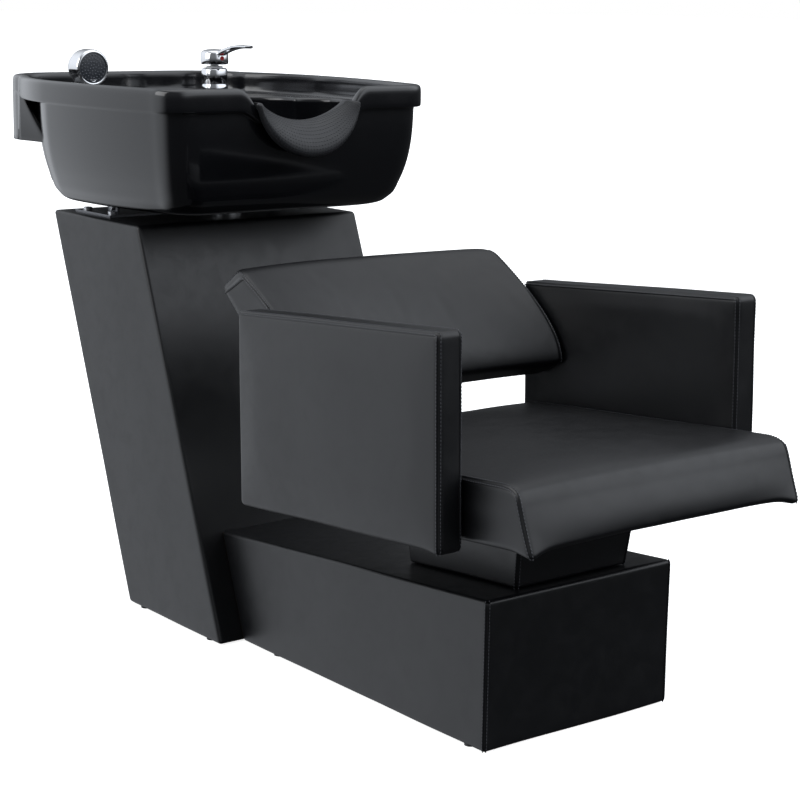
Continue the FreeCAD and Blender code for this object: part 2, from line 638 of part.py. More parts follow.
def waste():
    floor = "bowl_bottom + bowl_wall"
    bore = "tail_radius + 0.1"
    turned("drain_flange", [(bore, "bowl_bottom - 34"), ("drain_neck_radius", "bowl_bottom - 34"),
                            ("drain_neck_radius", floor), ("drain_lip_radius", floor),
                            ("drain_lip_radius - 4", floor + " + 3"), (bore, floor + " + 3")],
           ("0", "drain_place", "0"))
    ring("drain_gasket", "drain_neck_radius", "drain_neck_radius + 9", "bowl_bottom - 2", "bowl_bottom")
    ring("drain_nut", "drain_neck_radius", "drain_neck_radius + 10", "bowl_bottom - 13", "bowl_bottom - 2")
    bore, top = "tail_radius - tail_wall", "bowl_bottom - 10"
    turned("drain_tailpiece", [(bore, "tail_bottom"), ("tail_radius", "tail_bottom"),
                               ("tail_radius", "tail_stop"), ("tail_radius + tail_bead", "tail_stop"),
                               ("tail_radius + tail_bead", "tail_stop + 4"), ("tail_radius", "tail_stop + 4"),
                               ("tail_radius", top), (bore, top)], ("0", "drain_place", "0"))
    turned("hair_strainer", [("0", floor + " - 3"), ("strainer_radius", floor + " - 3"),
                             ("strainer_radius", floor + " + 3"), ("strainer_radius + 8", floor + " + 3"),
                             ("strainer_radius + 8", floor + " + 5"), ("5", floor + " + 5"),
                             ("5", floor + " + 11"), ("0", floor + " + 11")],
           ("0", "drain_place", "0"))


# ------------------------------------------------------------------ mixer tap
DECK = "rim_height - rim_band"
MIXER = ("tap_spread", "tap_place", "0")


def mixer():
    ring("mixer_gasket", "shank_radius", "mixer_radius + 3", DECK, DECK + " + 5", MIXER)
    base = turned("mixer_body", [("0", DECK + " - shank_length"), ("shank_radius", DECK + " - shank_length"),
                                 ("shank_radius", DECK + " + 5"), ("mixer_radius + 1", DECK + " + 5"),
                                 ("mixer_radius", DECK + " + 22"), ("mixer_radius", "mixer_shoulder"),
                                 ("stem_radius + 8", "mixer_shoulder"), ("0", "mixer_shoulder")], MIXER)
    for number, spot in enumerate(("-inlet_spread", "inlet_spread")):
        circle = base.newObject("Sketcher::SketchObject", "inlet_%d" % number)
        circle.AttachmentSupport = [(plane_of(base, "XY_Plane"), "")]
        circle.MapMode = "FlatFace"
        bind(circle, "AttachmentOffset.Base.z", DECK + " - shank_length")
        circle.addGeometry(Part.Circle(Vector(value(spot), 0, 0), Vector(0, 0, 1), value("inlet_radius")))
        bind(circle, "Constraints[%d]" % circle.addConstraint(
            Sketcher.Constraint("Radius", 0, value("inlet_radius"))), "inlet_radius")
        circle.addConstraint(Sketcher.Constraint("DistanceX", -1, 1, 0, 3, value(spot)))
        circle.addConstraint(Sketcher.Constraint("DistanceY", -1, 1, 0, 3, 0))
        pad = base.newObject("PartDesign::Pad", "inlet_%d_tail" % number)
        pad.Profile = circle
        pad.Reversed = True
        bind(pad, "Length", "inlet_length")
    ring("mixer_nut", "shank_radius", "shank_radius + 9", DECK + " - bowl_wall - 9",
         DECK + " - bowl_wall", MIXER)
    turned("cartridge_stem", [("0", "mixer_shoulder + 0.3"), ("stem_radius + 7", "mixer_shoulder + 0.3"),
                              ("stem_radius + 7", "mixer_shoulder + 3"), ("stem_radius", "mixer_shoulder + 3"),
                              ("stem_radius", "mixer_cap_bottom + 9"), ("0", "mixer_cap_bottom + 9")], MIXER)
    own_shape("mixer_handle", mixer_handle())
    x, y = value("tap_spread"), value("tap_place")
    cap = value("mixer_cap_radius")
    own_shape("temperature_mark", rod(3.5, (x, y - cap - 0.8, value("mixer_cap_bottom") + 11),
                                      (0, 1, 0), 2.5))


def mixer_handle():
    """A domed cap with a flat tapering lever that reaches over the basin."""
    x, y = value("tap_spread"), value("tap_place")
    low, high, radius = value("mixer_cap_bottom"), value("mixer_cap_top"), value("mixer_cap_radius")
    cap = rod(radius, (x, y, low), (0, 0, 1), high - low)
    cap = cap.makeFillet(7, [edge for edge in cap.Edges if edge.BoundBox.ZMin > high - 1])
    cap = cap.cut(rod(value("stem_radius") + 9, (x, y, low - 1), (0, 0, 1), 12))
    cap = cap.cut(rod(3.6, (x, y - radius - 3, low + 11), (0, 1, 0), 4.8))
    reach, rise = value("lever_reach"), value("lever_rise")
    rings = []
    for along, half_width, thick in ((-6, 14, 9), (radius + 8, 12, 7), (reach - 22, 10, 3.5), (reach, 8, 2.5)):
        middle = high - 9 + rise * (along / reach) ** 1.6 if along > 0 else high - 9
        rings.append(Part.makePolygon([Vector(x - half_width, y - along, middle - thick / 2),
                                       Vector(x + half_width, y - along, middle - thick / 2),
                                       Vector(x + half_width, y - along, middle + thick / 2),
                                       Vector(x - half_width, y - along, middle + thick / 2),
                                       Vector(x - half_width, y - along, middle - thick / 2)]))
    return cap.fuse(Part.makeLoft(rings, True, True)).removeSplitter()


# ------------------------------------------------------------------ hand shower
def hand_shower():
    start, pull = handset_axis()
    lean = value("handset_lean")
    radius, handle = value("drum_radius"), value("handle_radius")
    y0 = value("tap_place + drum_offset - drum_depth/2")
    drum = rod(radius, (start.x, y0, value("drum_height")), (0, 1, 0), value("drum_depth"))
    drum = drum.makeFillet(5, [edge for edge in drum.Edges if edge.BoundBox.YMin > y0 + 30])
    grip = rod(handle, start - pull * value("handle_length"), pull, value("handle_length"))
    thread = value("hose_thread_length")
    spigot = rod(value("hose_thread_radius"), start - pull * (value("handle_length") + thread), pull, thread)
    body = drum.fuse([grip, spigot])
    face = rod(radius - 4, (start.x, y0 - 1, value("drum_height")), (0, 1, 0), 4)
    own_shape("handset", body.cut(face).removeSplitter())
    own_shape("spray_face", rod(radius - 4, (start.x, y0 + 0.6, value("drum_height")), (0, 1, 0), 2.4))
    bore = handle + value("handle_clearance")
    outer = bore + value("holder_wall")
    sleeve_low, sleeve_length = start - pull * 80, 52
    sleeve = rod(outer, sleeve_low, pull, sleeve_length)
    deck = value(DECK)
    flange = rod(outer + 9, (start.x, start.y + (start.z - deck) * math.tan(math.radians(lean)), deck),
                 (0, 0, 1), 4)
    holder = sleeve.fuse(flange).cut(rod(bore, start - pull * 140, pull, 200))
    own_shape("shower_holder", holder.removeSplitter())


def service_screws():
    """Round-headed screws that hold the service panel to the rear rails."""
    slope = math.atan2(value("column_lean"), value("column_height"))
    out = Vector(0, math.cos(slope), -math.sin(slope))
    screws = []
    for sign in (-1, 1):
        for height in (value("panel_bottom") + 20, value("column_height - panel_bottom") - 20):
            x = sign * (value("column_width") / 2 - value("panel_margin") - 24)
            face = Vector(x, value(column_face("%.6f" % height, "column_depth")), height)
            head = Part.makeCylinder(4, 1.5, face, out)
            screws.append(head.fuse(Part.makeCylinder(value("screw_radius"), 14, face, out * -1)))
    own_shape("service_screws", Part.makeCompound(screws))


column()
plinth()
pedestal()
glides()
service_screws()
seat()
arms()
arm_bolts()
backrest()
bowl()
neck_rest()
tilt_mechanism()
waste()
mixer()
hand_shower()

doc.recompute()
for thing in doc.Objects:
    if "Invalid" in thing.State or "Error" in thing.State:
        raise RuntimeError("%s did not compute: %s" % (thing.Label, thing.State))
for node in nodes:
    if node.Shape.isNull() or not node.Shape.isValid() or not node.Shape.Solids:
        raise RuntimeError("%s has no sound solid" % node.Label)
os.makedirs("parts", exist_ok=True)
for node in nodes:
    node.Shape.exportStep("parts/%s.step" % node.Label)
print("%d sub-parts written" % len(nodes))
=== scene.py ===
"""Shampoo backwash unit: its upholstery, basin and taps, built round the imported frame."""

import math

import bmesh
import bpy
import numpy as np
from bpy.props import FloatProperty, FloatVectorProperty, IntProperty, PointerProperty
from mathutils import Matrix, Vector, noise
from mathutils.bvhtree import BVHTree


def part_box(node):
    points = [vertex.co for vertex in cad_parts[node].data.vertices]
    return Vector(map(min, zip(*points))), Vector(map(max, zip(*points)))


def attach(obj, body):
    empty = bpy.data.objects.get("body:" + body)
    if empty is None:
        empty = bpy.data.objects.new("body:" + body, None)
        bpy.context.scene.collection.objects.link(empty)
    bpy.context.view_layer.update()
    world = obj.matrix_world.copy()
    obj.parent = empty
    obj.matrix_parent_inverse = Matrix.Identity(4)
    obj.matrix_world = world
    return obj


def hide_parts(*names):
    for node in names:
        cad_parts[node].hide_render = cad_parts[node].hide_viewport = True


bl_info = {
    "name": "Backwash unit",
    "version": (1, 0, 0),
    "blender": (4, 5, 0),
    "location": "3D View > Sidebar > Backwash unit",
    "description": "Upholsters, moulds and plumbs a salon backwash unit round its frame",
    "category": "Object",
}

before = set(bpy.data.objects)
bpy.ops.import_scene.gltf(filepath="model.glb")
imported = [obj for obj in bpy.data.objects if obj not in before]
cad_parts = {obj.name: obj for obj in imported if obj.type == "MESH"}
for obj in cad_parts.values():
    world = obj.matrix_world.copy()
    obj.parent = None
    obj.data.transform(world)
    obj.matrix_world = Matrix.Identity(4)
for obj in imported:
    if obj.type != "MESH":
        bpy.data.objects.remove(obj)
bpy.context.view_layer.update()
NODE = {name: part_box(name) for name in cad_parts}


def low(node, axis):
    return NODE[node][0][axis]


def high(node, axis):
    return NODE[node][1][axis]


def length_of(description, default, name):
    """A property for a size in metres."""
    return FloatProperty(name=name, description=description, default=default, min=0, unit="LENGTH",
                         precision=4)


# ------------------------------------------------------------------ sizes and colours
class CarcassSizes(bpy.types.PropertyGroup):
    lean: length_of("How far the column's front leans back over its height", 0.226, "Column lean")
    depth: length_of("The column's depth along the floor", 0.266, "Column depth")
    panel_margin: length_of("Cover left at each side of the service panel", 0.034, "Panel margin")
    panel_bottom: length_of("Cover left above and below the service panel", 0.044, "Panel bottom")
    skin: length_of("Thickness of the cover and its wadding", 0.003, "Cover thickness")
    edge: length_of("Radius of the covered edges", 0.006, "Edge radius")
    pedestal_flare: length_of("How far the pedestal widens towards the seat", 0.012, "Pedestal flare")
    plinth_rear: length_of("Height of the plinth where it meets the column", 0.160, "Plinth rear")


class SeatSizes(bpy.types.PropertyGroup):
    tilt: FloatProperty(name="Seat tilt", description="How far the seat drops towards its rear",
                        default=math.radians(4.3), unit="ROTATION")
    arm_height: length_of("Height of an arm pad along its front edge", 0.272, "Arm height")
    arm_length: length_of("Length of an arm pad along its bottom edge", 0.435, "Arm length")
    arm_rake: length_of("How far an arm's front edge leans forward", 0.013, "Arm rake")
    seat_rear: length_of("From the arm's front to the seat's rear edge", 0.402, "Seat rear")
    seat_front: length_of("From the arm's front to the seat's front edge", 0.120, "Seat front")
    seat_bottom: length_of("From the arm's bottom line to the seat's underside", 0.009, "Seat bottom")
    seat_depth: length_of("Height of the seat's side panels", 0.082, "Seat side height")
    seat_crown: length_of("How far the seat domes above its side seams", 0.013, "Seat crown")
    pressure: FloatProperty(name="Filling pressure", description="How hard the foam fills the covers",
                            default=4.0, min=0, max=20)
    swell: length_of("Furthest that a cover may swell", 0.006, "Greatest swell")


class SeamSizes(bpy.types.PropertyGroup):
    tape: length_of("Half the width of the turned-in seam band", 0.0062, "Seam band")
    rise: length_of("How far the seam band stands proud", 0.0014, "Seam rise")
    row: length_of("From the seam to each row of stitches", 0.0040, "Stitch row")
    pitch: length_of("From one stitch to the next", 0.0046, "Stitch pitch")
    stitch: length_of("Length of one stitch", 0.0032, "Stitch length")
    thread: length_of("Radius of the sewing thread", 0.00055, "Thread radius")


class BasinSizes(bpy.types.PropertyGroup):
    band: length_of("Height of the upright band under the rim", 0.035, "Band height")
    wall: length_of("Thickness of the basin's wall", 0.005, "Wall")
    ledge: length_of("Width of the ledge below the rim", 0.014, "Ledge width")
    deck_front: length_of("Where the tap deck begins", 0.500, "Deck front")
    skirt_height: length_of("From the rim to the bottom of the rear skirt", 0.105, "Skirt height")
    skirt_front: length_of("Where the skirt's lower corner stands", 0.597, "Skirt front")
    notch_half: length_of("Half the width of the neck notch at the rim", 0.119, "Notch half width")
    notch_drop: length_of("Depth of the neck notch below the rim", 0.055, "Notch depth")
    dot: length_of("Radius of the grip dots on the neck rest", 0.0011, "Dot radius")
    dot_rows: IntProperty(name="Dot rows", description="Rows of grip dots across the rest",
                          default=15, min=2)
    dot_columns: IntProperty(name="Dots in a row", description="Grip dots along the rest", default=46,
                             min=2)


class TapSizes(bpy.types.PropertyGroup):
    cap: length_of("Radius of the mixer's cap", 0.024, "Cap radius")
    body: length_of("Radius of the mixer's body", 0.022, "Body radius")
    lever_width: length_of("Width of the lever at its tip", 0.016, "Lever width")
    drum: length_of("Radius of the hand shower's head", 0.030, "Shower head radius")
    handle: length_of("Radius of the hand shower's handle", 0.0125, "Shower handle radius")
    lean: FloatProperty(name="Handset lean", description="How far the hand shower leans forward",
                        default=math.radians(35), unit="ROTATION")
    nozzle: length_of("Radius of a spray nozzle", 0.0011, "Nozzle radius")


class Finishes(bpy.types.PropertyGroup):
    leatherette: FloatVectorProperty(name="Leatherette", description="Colour of the upholstery",
                                     default=(0.0034, 0.0037, 0.0047), subtype="COLOR", size=3)
    basin: FloatVectorProperty(name="Basin", description="Colour of the moulded basin",
                               default=(0.0050, 0.0053, 0.0066), subtype="COLOR", size=3)
    rubber: FloatVectorProperty(name="Rubber", description="Colour of the neck rest",
                                default=(0.022, 0.023, 0.026), subtype="COLOR", size=3)
    chrome: FloatVectorProperty(name="Chrome", description="Colour of the plated fittings",
                                default=(0.78, 0.79, 0.81), subtype="COLOR", size=3)
    key: FloatProperty(name="Key light", description="Strength of the soft light at the left",
                       default=45.0, min=0, unit="POWER")
    fill: FloatProperty(name="Fill light", description="Strength of the surroundings", default=1.0,
                        min=0)


GROUPS = {"carcass": CarcassSizes, "seat": SeatSizes, "seams": SeamSizes, "basin": BasinSizes,
          "taps": TapSizes, "finishes": Finishes}


# ------------------------------------------------------------------ node helpers
def wire(tree, start, end):
    tree.links.new(start, end)


def node_in(tree, kind, place, **values):
    """A node at a place on the sheet, its named sockets and settings filled in."""
    node = tree.nodes.new(kind)
    node.location = place
    for key, given in values.items():
        if hasattr(node, key):
            setattr(node, key, given)
        else:
            node.inputs[key.replace("_", " ")].default_value = given
    return node


def effect(name, inputs, outputs):
    """An empty shader node group with named sockets, and its input and output nodes."""
    group = bpy.data.node_groups.new(name, "ShaderNodeTree")
    for label, kind, default in inputs:
        socket = group.interface.new_socket(label, in_out="INPUT", socket_type=kind)
        if default is not None:
            socket.default_value = default
    for label, kind in outputs:
        group.interface.new_socket(label, in_out="OUTPUT", socket_type=kind)
    return (group, node_in(group, "NodeGroupInput", (-900, 0)),
            node_in(group, "NodeGroupOutput", (700, 0)))


def ramp(tree, place, stops):
    """A colour ramp from pairs of place and grey level."""
    node = node_in(tree, "ShaderNodeValToRGB", place)
    elements = node.color_ramp.elements
    while len(elements) < len(stops):
        elements.new(0.5)
    for element, (at, grey) in zip(elements, stops):
        element.position = at
        element.color = (grey, grey, grey, 1)
    return node


def hide_grain_effect():
    """Pebbled hide grain with fine creases: a height and a mask of its valleys."""
    group, given, made = effect("Hide grain", [("Vector", "NodeSocketVector", None),
                                               ("Scale", "NodeSocketFloat", 900.0)],
                                [("Height", "NodeSocketFloat"), ("Valleys", "NodeSocketFloat")])
    warp = node_in(group, "ShaderNodeTexNoise", (-700, -200), Scale=260.0, Detail=2.0)
    wire(group, given.outputs["Vector"], warp.inputs["Vector"])
    shift = node_in(group, "ShaderNodeVectorMath", (-520, -100), operation="MULTIPLY_ADD")
    shift.inputs[1].default_value = (0.0006, 0.0006, 0.0006)
    wire(group, warp.outputs["Color"], shift.inputs[0])
    wire(group, given.outputs["Vector"], shift.inputs[2])
    cells = node_in(group, "ShaderNodeTexVoronoi", (-340, 60), feature="DISTANCE_TO_EDGE")
    wire(group, shift.outputs[0], cells.inputs["Vector"])
    wire(group, given.outputs["Scale"], cells.inputs["Scale"])
    pebble = ramp(group, (-160, 60), [(0.0, 0.0), (0.16, 0.85), (0.5, 1.0)])
    wire(group, cells.outputs["Distance"], pebble.inputs["Fac"])
    fine = node_in(group, "ShaderNodeTexNoise", (-340, -260), Scale=2600.0, Detail=3.0)
    wire(group, given.outputs["Vector"], fine.inputs["Vector"])
    mixed = node_in(group, "ShaderNodeMath", (120, 0), operation="MULTIPLY_ADD")
    mixed.inputs[1].default_value = 0.25
    wire(group, fine.outputs["Fac"], mixed.inputs[0])
    wire(group, pebble.outputs["Color"], mixed.inputs[2])
    wire(group, mixed.outputs[0], made.inputs["Height"])
    valleys = node_in(group, "ShaderNodeMath", (120, -200), operation="SUBTRACT")
    valleys.inputs[0].default_value = 1.0
    wire(group, pebble.outputs["Color"], valleys.inputs[1])
    wire(group, valleys.outputs[0], made.inputs["Valleys"])
    return group


def handling_effect():
    """Broad uneven tone with faint smudges, as a mask from none to full."""
    group, given, made = effect("Handling marks", [("Vector", "NodeSocketVector", None),
                                                   ("Scale", "NodeSocketFloat", 6.0)],
                                [("Broad", "NodeSocketFloat"), ("Smudge", "NodeSocketFloat")])
    broad = node_in(group, "ShaderNodeTexNoise", (-500, 100), Detail=3.0, Roughness=0.55)
    wire(group, given.outputs["Vector"], broad.inputs["Vector"])
    wire(group, given.outputs["Scale"], broad.inputs["Scale"])
    wire(group, broad.outputs["Fac"], made.inputs["Broad"])
    finer = node_in(group, "ShaderNodeMath", (-680, -160), operation="MULTIPLY")
    finer.inputs[1].default_value = 7.0
    wire(group, given.outputs["Scale"], finer.inputs[0])
    wipes = node_in(group, "ShaderNodeTexNoise", (-500, -160), Detail=5.0, Roughness=0.65,
                    Distortion=0.6)
    wire(group, given.outputs["Vector"], wipes.inputs["Vector"])
    wire(group, finer.outputs[0], wipes.inputs["Scale"])
    mask = ramp(group, (-300, -160), [(0.42, 0.0), (0.72, 1.0)])
    wire(group, wipes.outputs["Fac"], mask.inputs["Fac"])
    wire(group, mask.outputs["Color"], made.inputs["Smudge"])
    return group


def speckle_effect():
    """Fine moulded or cast texture as a height."""
    group, given, made = effect("Speckle", [("Vector", "NodeSocketVector", None),
                                            ("Scale", "NodeSocketFloat", 1500.0)],
                                [("Height", "NodeSocketFloat")])
    pits = node_in(group, "ShaderNodeTexNoise", (-400, 0), Detail=4.0, Roughness=0.7)
    wire(group, given.outputs["Vector"], pits.inputs["Vector"])
    wire(group, given.outputs["Scale"], pits.inputs["Scale"])
    wire(group, pits.outputs["Fac"], made.inputs["Height"])
    return group


EFFECTS = {}


def use_effect(tree, name, place, **values):
    """One of the shared effects placed in a material, fed by the piece's own coordinates."""
    makers = {"grain": hide_grain_effect, "marks": handling_effect, "speckle": speckle_effect}
    if name not in EFFECTS:
        EFFECTS[name] = makers[name]()
    node = node_in(tree, "ShaderNodeGroup", place, node_tree=EFFECTS[name])
    for key, given in values.items():
        node.inputs[key].default_value = given
    where = tree.nodes.get("Where") or node_in(tree, "ShaderNodeTexCoord", (-1200, 0), name="Where")
    wire(tree, where.outputs["Object"], node.inputs["Vector"])
    return node


def blank_material(name):
    """A material with one Principled BSDF."""
    material = bpy.data.materials.new(name)
    material.use_nodes = True
    tree = material.node_tree
    shader = next(n for n in tree.nodes if n.type == "BSDF_PRINCIPLED")
    return material, tree, shader


def toned(tree, shader, mask, dark, light, place):
    """Base colour between two tones, by a mask."""
    mix = node_in(tree, "ShaderNodeMix", place, data_type="RGBA")
    mix.inputs["A"].default_value = (*dark, 1)
    mix.inputs["B"].default_value = (*light, 1)
    wire(tree, mask, mix.inputs["Factor"])
    wire(tree, mix.outputs["Result"], shader.inputs["Base Color"])


def ranged(tree, socket, mask, least, most, place):
    """A value between two limits, by a mask."""
    spread = node_in(tree, "ShaderNodeMapRange", place)
    spread.inputs["To Min"].default_value = least
    spread.inputs["To Max"].default_value = most
    wire(tree, mask, spread.inputs["Value"])
    wire(tree, spread.outputs["Result"], socket)


def bumped(tree, shader, height, strength, distance, place, under=None):
    """A bump from a height, over another bump where one is given."""
    bump = node_in(tree, "ShaderNodeBump", place)
    bump.inputs["Strength"].default_value = strength
    bump.inputs["Distance"].default_value = distance
    wire(tree, height, bump.inputs["Height"])
    if under:
        wire(tree, under.outputs["Normal"], bump.inputs["Normal"])
    wire(tree, bump.outputs["Normal"], shader.inputs["Normal"])
    return bump


def shade(colour, factor):
    """A colour made darker or lighter."""
    return tuple(min(1.0, part * factor) for part in colour)


# ------------------------------------------------------------------ materials
def leatherette():
    """Black coated upholstery fabric with a fine hide grain."""
    material, tree, shader = blank_material("leatherette")
    base = tuple(bpy.context.scene.finishes.leatherette)
    grain = use_effect(tree, "grain", (-900, -300), Scale=820.0)
    marks = use_effect(tree, "marks", (-900, 200), Scale=5.0)
    toned(tree, shader, marks.outputs["Broad"], shade(base, 0.82), shade(base, 1.22), (-300, 300))
    ranged(tree, shader.inputs["Roughness"], marks.outputs["Smudge"], 0.36, 0.44, (-300, 60))
    soft = bumped(tree, shader, marks.outputs["Broad"], 0.15, 0.003, (-500, -500))
    bumped(tree, shader, grain.outputs["Height"], 0.30, 0.00003, (-300, -300), soft)
    shader.inputs["Specular IOR Level"].default_value = 0.5
    return material


def sewing_thread():
    """Dull twisted thread, a little lighter than what it sews."""
    material, tree, shader = blank_material("sewing_thread")
    where = node_in(tree, "ShaderNodeTexCoord", (-900, 0))
    twist = node_in(tree, "ShaderNodeTexWave", (-600, 0), Scale=1400.0, bands_direction="DIAGONAL")
    wire(tree, where.outputs["Object"], twist.inputs["Vector"])
    toned(tree, shader, twist.outputs["Fac"], (0.050, 0.052, 0.060), (0.130, 0.134, 0.150), (-300, 200))
    bumped(tree, shader, twist.outputs["Fac"], 0.5, 0.0002, (-300, -200))
    shader.inputs["Roughness"].default_value = 0.62
    return material


def basin_plastic():
    """Glossy black moulded plastic with a faint waviness."""
    material, tree, shader = blank_material("basin_plastic")
    base = tuple(bpy.context.scene.finishes.basin)
    marks = use_effect(tree, "marks", (-900, 200), Scale=4.0)
    speckle = use_effect(tree, "speckle", (-900, -200), Scale=420.0)
    toned(tree, shader, marks.outputs["Broad"], shade(base, 0.85), shade(base, 1.15), (-300, 300))
    ranged(tree, shader.inputs["Roughness"], marks.outputs["Smudge"], 0.13, 0.19, (-300, 60))
    bumped(tree, shader, speckle.outputs["Height"], 0.05, 0.00008, (-300, -300))
    shader.inputs["Coat Weight"].default_value = 0.4
    shader.inputs["Coat Roughness"].default_value = 0.06
    shader.inputs["Specular IOR Level"].default_value = 0.6
    return material


def rubber(name, colour, roughness):
    """Matt moulded rubber with a fine even texture."""
    material, tree, shader = blank_material(name)
    marks = use_effect(tree, "marks", (-900, 200), Scale=9.0)
    speckle = use_effect(tree, "speckle", (-900, -200), Scale=700.0)
    toned(tree, shader, marks.outputs["Broad"], shade(colour, 0.8), shade(colour, 1.25), (-300, 300))
    ranged(tree, shader.inputs["Roughness"], marks.outputs["Smudge"], roughness - 0.05, roughness + 0.05,
           (-300, 60))
    bumped(tree, shader, speckle.outputs["Height"], 0.25, 0.0003, (-300, -300))
    return material


def plated(name, colour, roughness):
    """Polished plating with faint wipe marks and water spots."""
    material, tree, shader = blank_material(name)
    marks = use_effect(tree, "marks", (-900, 200), Scale=22.0)
    speckle = use_effect(tree, "speckle", (-900, -200), Scale=380.0)
    toned(tree, shader, marks.outputs["Broad"], shade(colour, 0.93), shade(colour, 1.05), (-300, 300))
    ranged(tree, shader.inputs["Roughness"], marks.outputs["Smudge"], roughness, roughness + 0.07,
           (-300, 60))
    bumped(tree, shader, speckle.outputs["Height"], 0.03, 0.0002, (-300, -300))
    shader.inputs["Metallic"].default_value = 1.0
    return material


def brushed_steel():
    """Zinc-plated or brushed steel with fine lines along X."""
    material, tree, shader = blank_material("brushed_steel")
    where = node_in(tree, "ShaderNodeTexCoord", (-1100, 0))
    stretch = node_in(tree, "ShaderNodeMapping", (-900, 0), vector_type="POINT")
    stretch.inputs["Scale"].default_value = (12.0, 900.0, 900.0)
    wire(tree, where.outputs["Object"], stretch.inputs["Vector"])
    lines = node_in(tree, "ShaderNodeTexNoise", (-700, 0), Scale=1.0, Detail=4.0)
    wire(tree, stretch.outputs["Vector"], lines.inputs["Vector"])
    toned(tree, shader, lines.outputs["Fac"], (0.16, 0.165, 0.175), (0.26, 0.265, 0.28), (-300, 300))
    ranged(tree, shader.inputs["Roughness"], lines.outputs["Fac"], 0.25, 0.45, (-300, 60))
    bumped(tree, shader, lines.outputs["Fac"], 0.15, 0.0002, (-300, -300))
    shader.inputs["Metallic"].default_value = 1.0
    return material


def boarded(name, light, dark, grain_scale):
    """Wood or chipboard with its grain along Z."""
    material, tree, shader = blank_material(name)
    where = node_in(tree, "ShaderNodeTexCoord", (-1100, 0))
    stretch = node_in(tree, "ShaderNodeMapping", (-900, 0), vector_type="POINT")
    stretch.inputs["Scale"].default_value = (grain_scale, grain_scale, grain_scale / 14)
    wire(tree, where.outputs["Object"], stretch.inputs["Vector"])
    rings = node_in(tree, "ShaderNodeTexNoise", (-700, 0), Scale=1.0, Detail=6.0, Roughness=0.6)
    wire(tree, stretch.outputs["Vector"], rings.inputs["Vector"])
    toned(tree, shader, rings.outputs["Fac"], dark, light, (-300, 300))
    ranged(tree, shader.inputs["Roughness"], rings.outputs["Fac"], 0.5, 0.7, (-300, 60))
    bumped(tree, shader, rings.outputs["Fac"], 0.2, 0.0004, (-300, -300))
    return material


def plastic(name, colour, roughness):
    """Satin moulded plastic."""
    material, tree, shader = blank_material(name)
    marks = use_effect(tree, "marks", (-900, 200), Scale=18.0)
    speckle = use_effect(tree, "speckle", (-900, -200), Scale=1200.0)
    toned(tree, shader, marks.outputs["Broad"], shade(colour, 0.88), shade(colour, 1.12), (-300, 300))
    ranged(tree, shader.inputs["Roughness"], marks.outputs["Smudge"], roughness, roughness + 0.08,
           (-300, 60))
    bumped(tree, shader, speckle.outputs["Height"], 0.12, 0.0002, (-300, -300))
    return material


MAKERS = {
    "leatherette": leatherette,
    "sewing_thread": sewing_thread,
    "basin_plastic": basin_plastic,
    "neck_rubber": lambda: rubber("neck_rubber", tuple(bpy.context.scene.finishes.rubber), 0.50),
    "gasket_rubber": lambda: rubber("gasket_rubber", (0.018, 0.018, 0.020), 0.55),
    "chrome": lambda: plated("chrome", tuple(bpy.context.scene.finishes.chrome), 0.05),
    "zinc_steel": lambda: plated("zinc_steel", (0.62, 0.63, 0.65), 0.28),
    "brushed_steel": brushed_steel,
    "plywood": lambda: boarded("plywood", (0.55, 0.40, 0.25), (0.36, 0.24, 0.13), 90.0),
    "panel_board": lambda: boarded("panel_board", (0.030, 0.031, 0.034), (0.016, 0.017, 0.019), 60.0),
    "glide_plastic": lambda: plastic("glide_plastic", (0.03, 0.03, 0.03), 0.5),
    "white_plastic": lambda: plastic("white_plastic", (0.68, 0.69, 0.70), 0.4),
    "holder_plastic": lambda: plastic("holder_plastic", (0.030, 0.031, 0.035), 0.22),
    "spray_plastic": lambda: plastic("spray_plastic", (0.035, 0.040, 0.050), 0.35),
    "nozzle_rubber": lambda: plastic("nozzle_rubber", (0.16, 0.17, 0.19), 0.5),
    "red_mark": lambda: plastic("red_mark", (0.55, 0.02, 0.02), 0.25),
}


MADE = {}


def material_of(name):
    """The finish of that name, made on its first use."""
    if name not in MADE:
        MADE[name] = MAKERS[name]()
    return MADE[name]


# ------------------------------------------------------------------ making pieces
def new_object(name, points, faces, material, edges=()):
    """An object at the origin from points, faces and loose edges, in the finish of that name."""
    mesh = bpy.data.meshes.new(name)
    mesh.from_pydata([tuple(map(float, p)) for p in points], list(edges), [tuple(f) for f in faces])
    if faces:
        mesh.shade_smooth()
    if material:
        mesh.materials.append(material_of(material))
    made = bpy.data.objects.new(name, mesh)
    bpy.context.scene.collection.objects.link(made)
    return made


def fit(piece, body, slot, *nodes):
    """Put a finished piece on its body and hide the nodes it stands for; slot, the record's finish, is not
    used.
    """
    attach(piece, body)
    if nodes:
        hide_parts(*nodes)
    return piece


def face_outwards(piece):
    """Turn every face of a closed piece outwards."""
    work = bmesh.new()
    work.from_mesh(piece.data)
    bmesh.ops.recalc_face_normals(work, faces=work.faces)
    work.to_mesh(piece.data)
    work.free()


def subdivide(piece):
    """One level of smoothing, the same in view and render."""
    smooth = piece.modifiers.new("smooth", "SUBSURF")
    smooth.levels = smooth.render_levels = 1


def coordinates(mesh):
    """Every vertex of a mesh as rows of X, Y and Z."""
    points = np.empty(len(mesh.vertices) * 3)
    mesh.vertices.foreach_get("co", points)
    return points.reshape(-1, 3)


def set_coordinates(mesh, points):
    mesh.vertices.foreach_set("co", np.asarray(points, dtype=np.float32).ravel())
    mesh.update()


def merge_by_place(piece, distance=2e-5):
    """Weld vertices that lie on each other."""
    work = bmesh.new()
    work.from_mesh(piece.data)
    bmesh.ops.remove_doubles(work, verts=work.verts, dist=distance)
    work.to_mesh(piece.data)
    work.free()


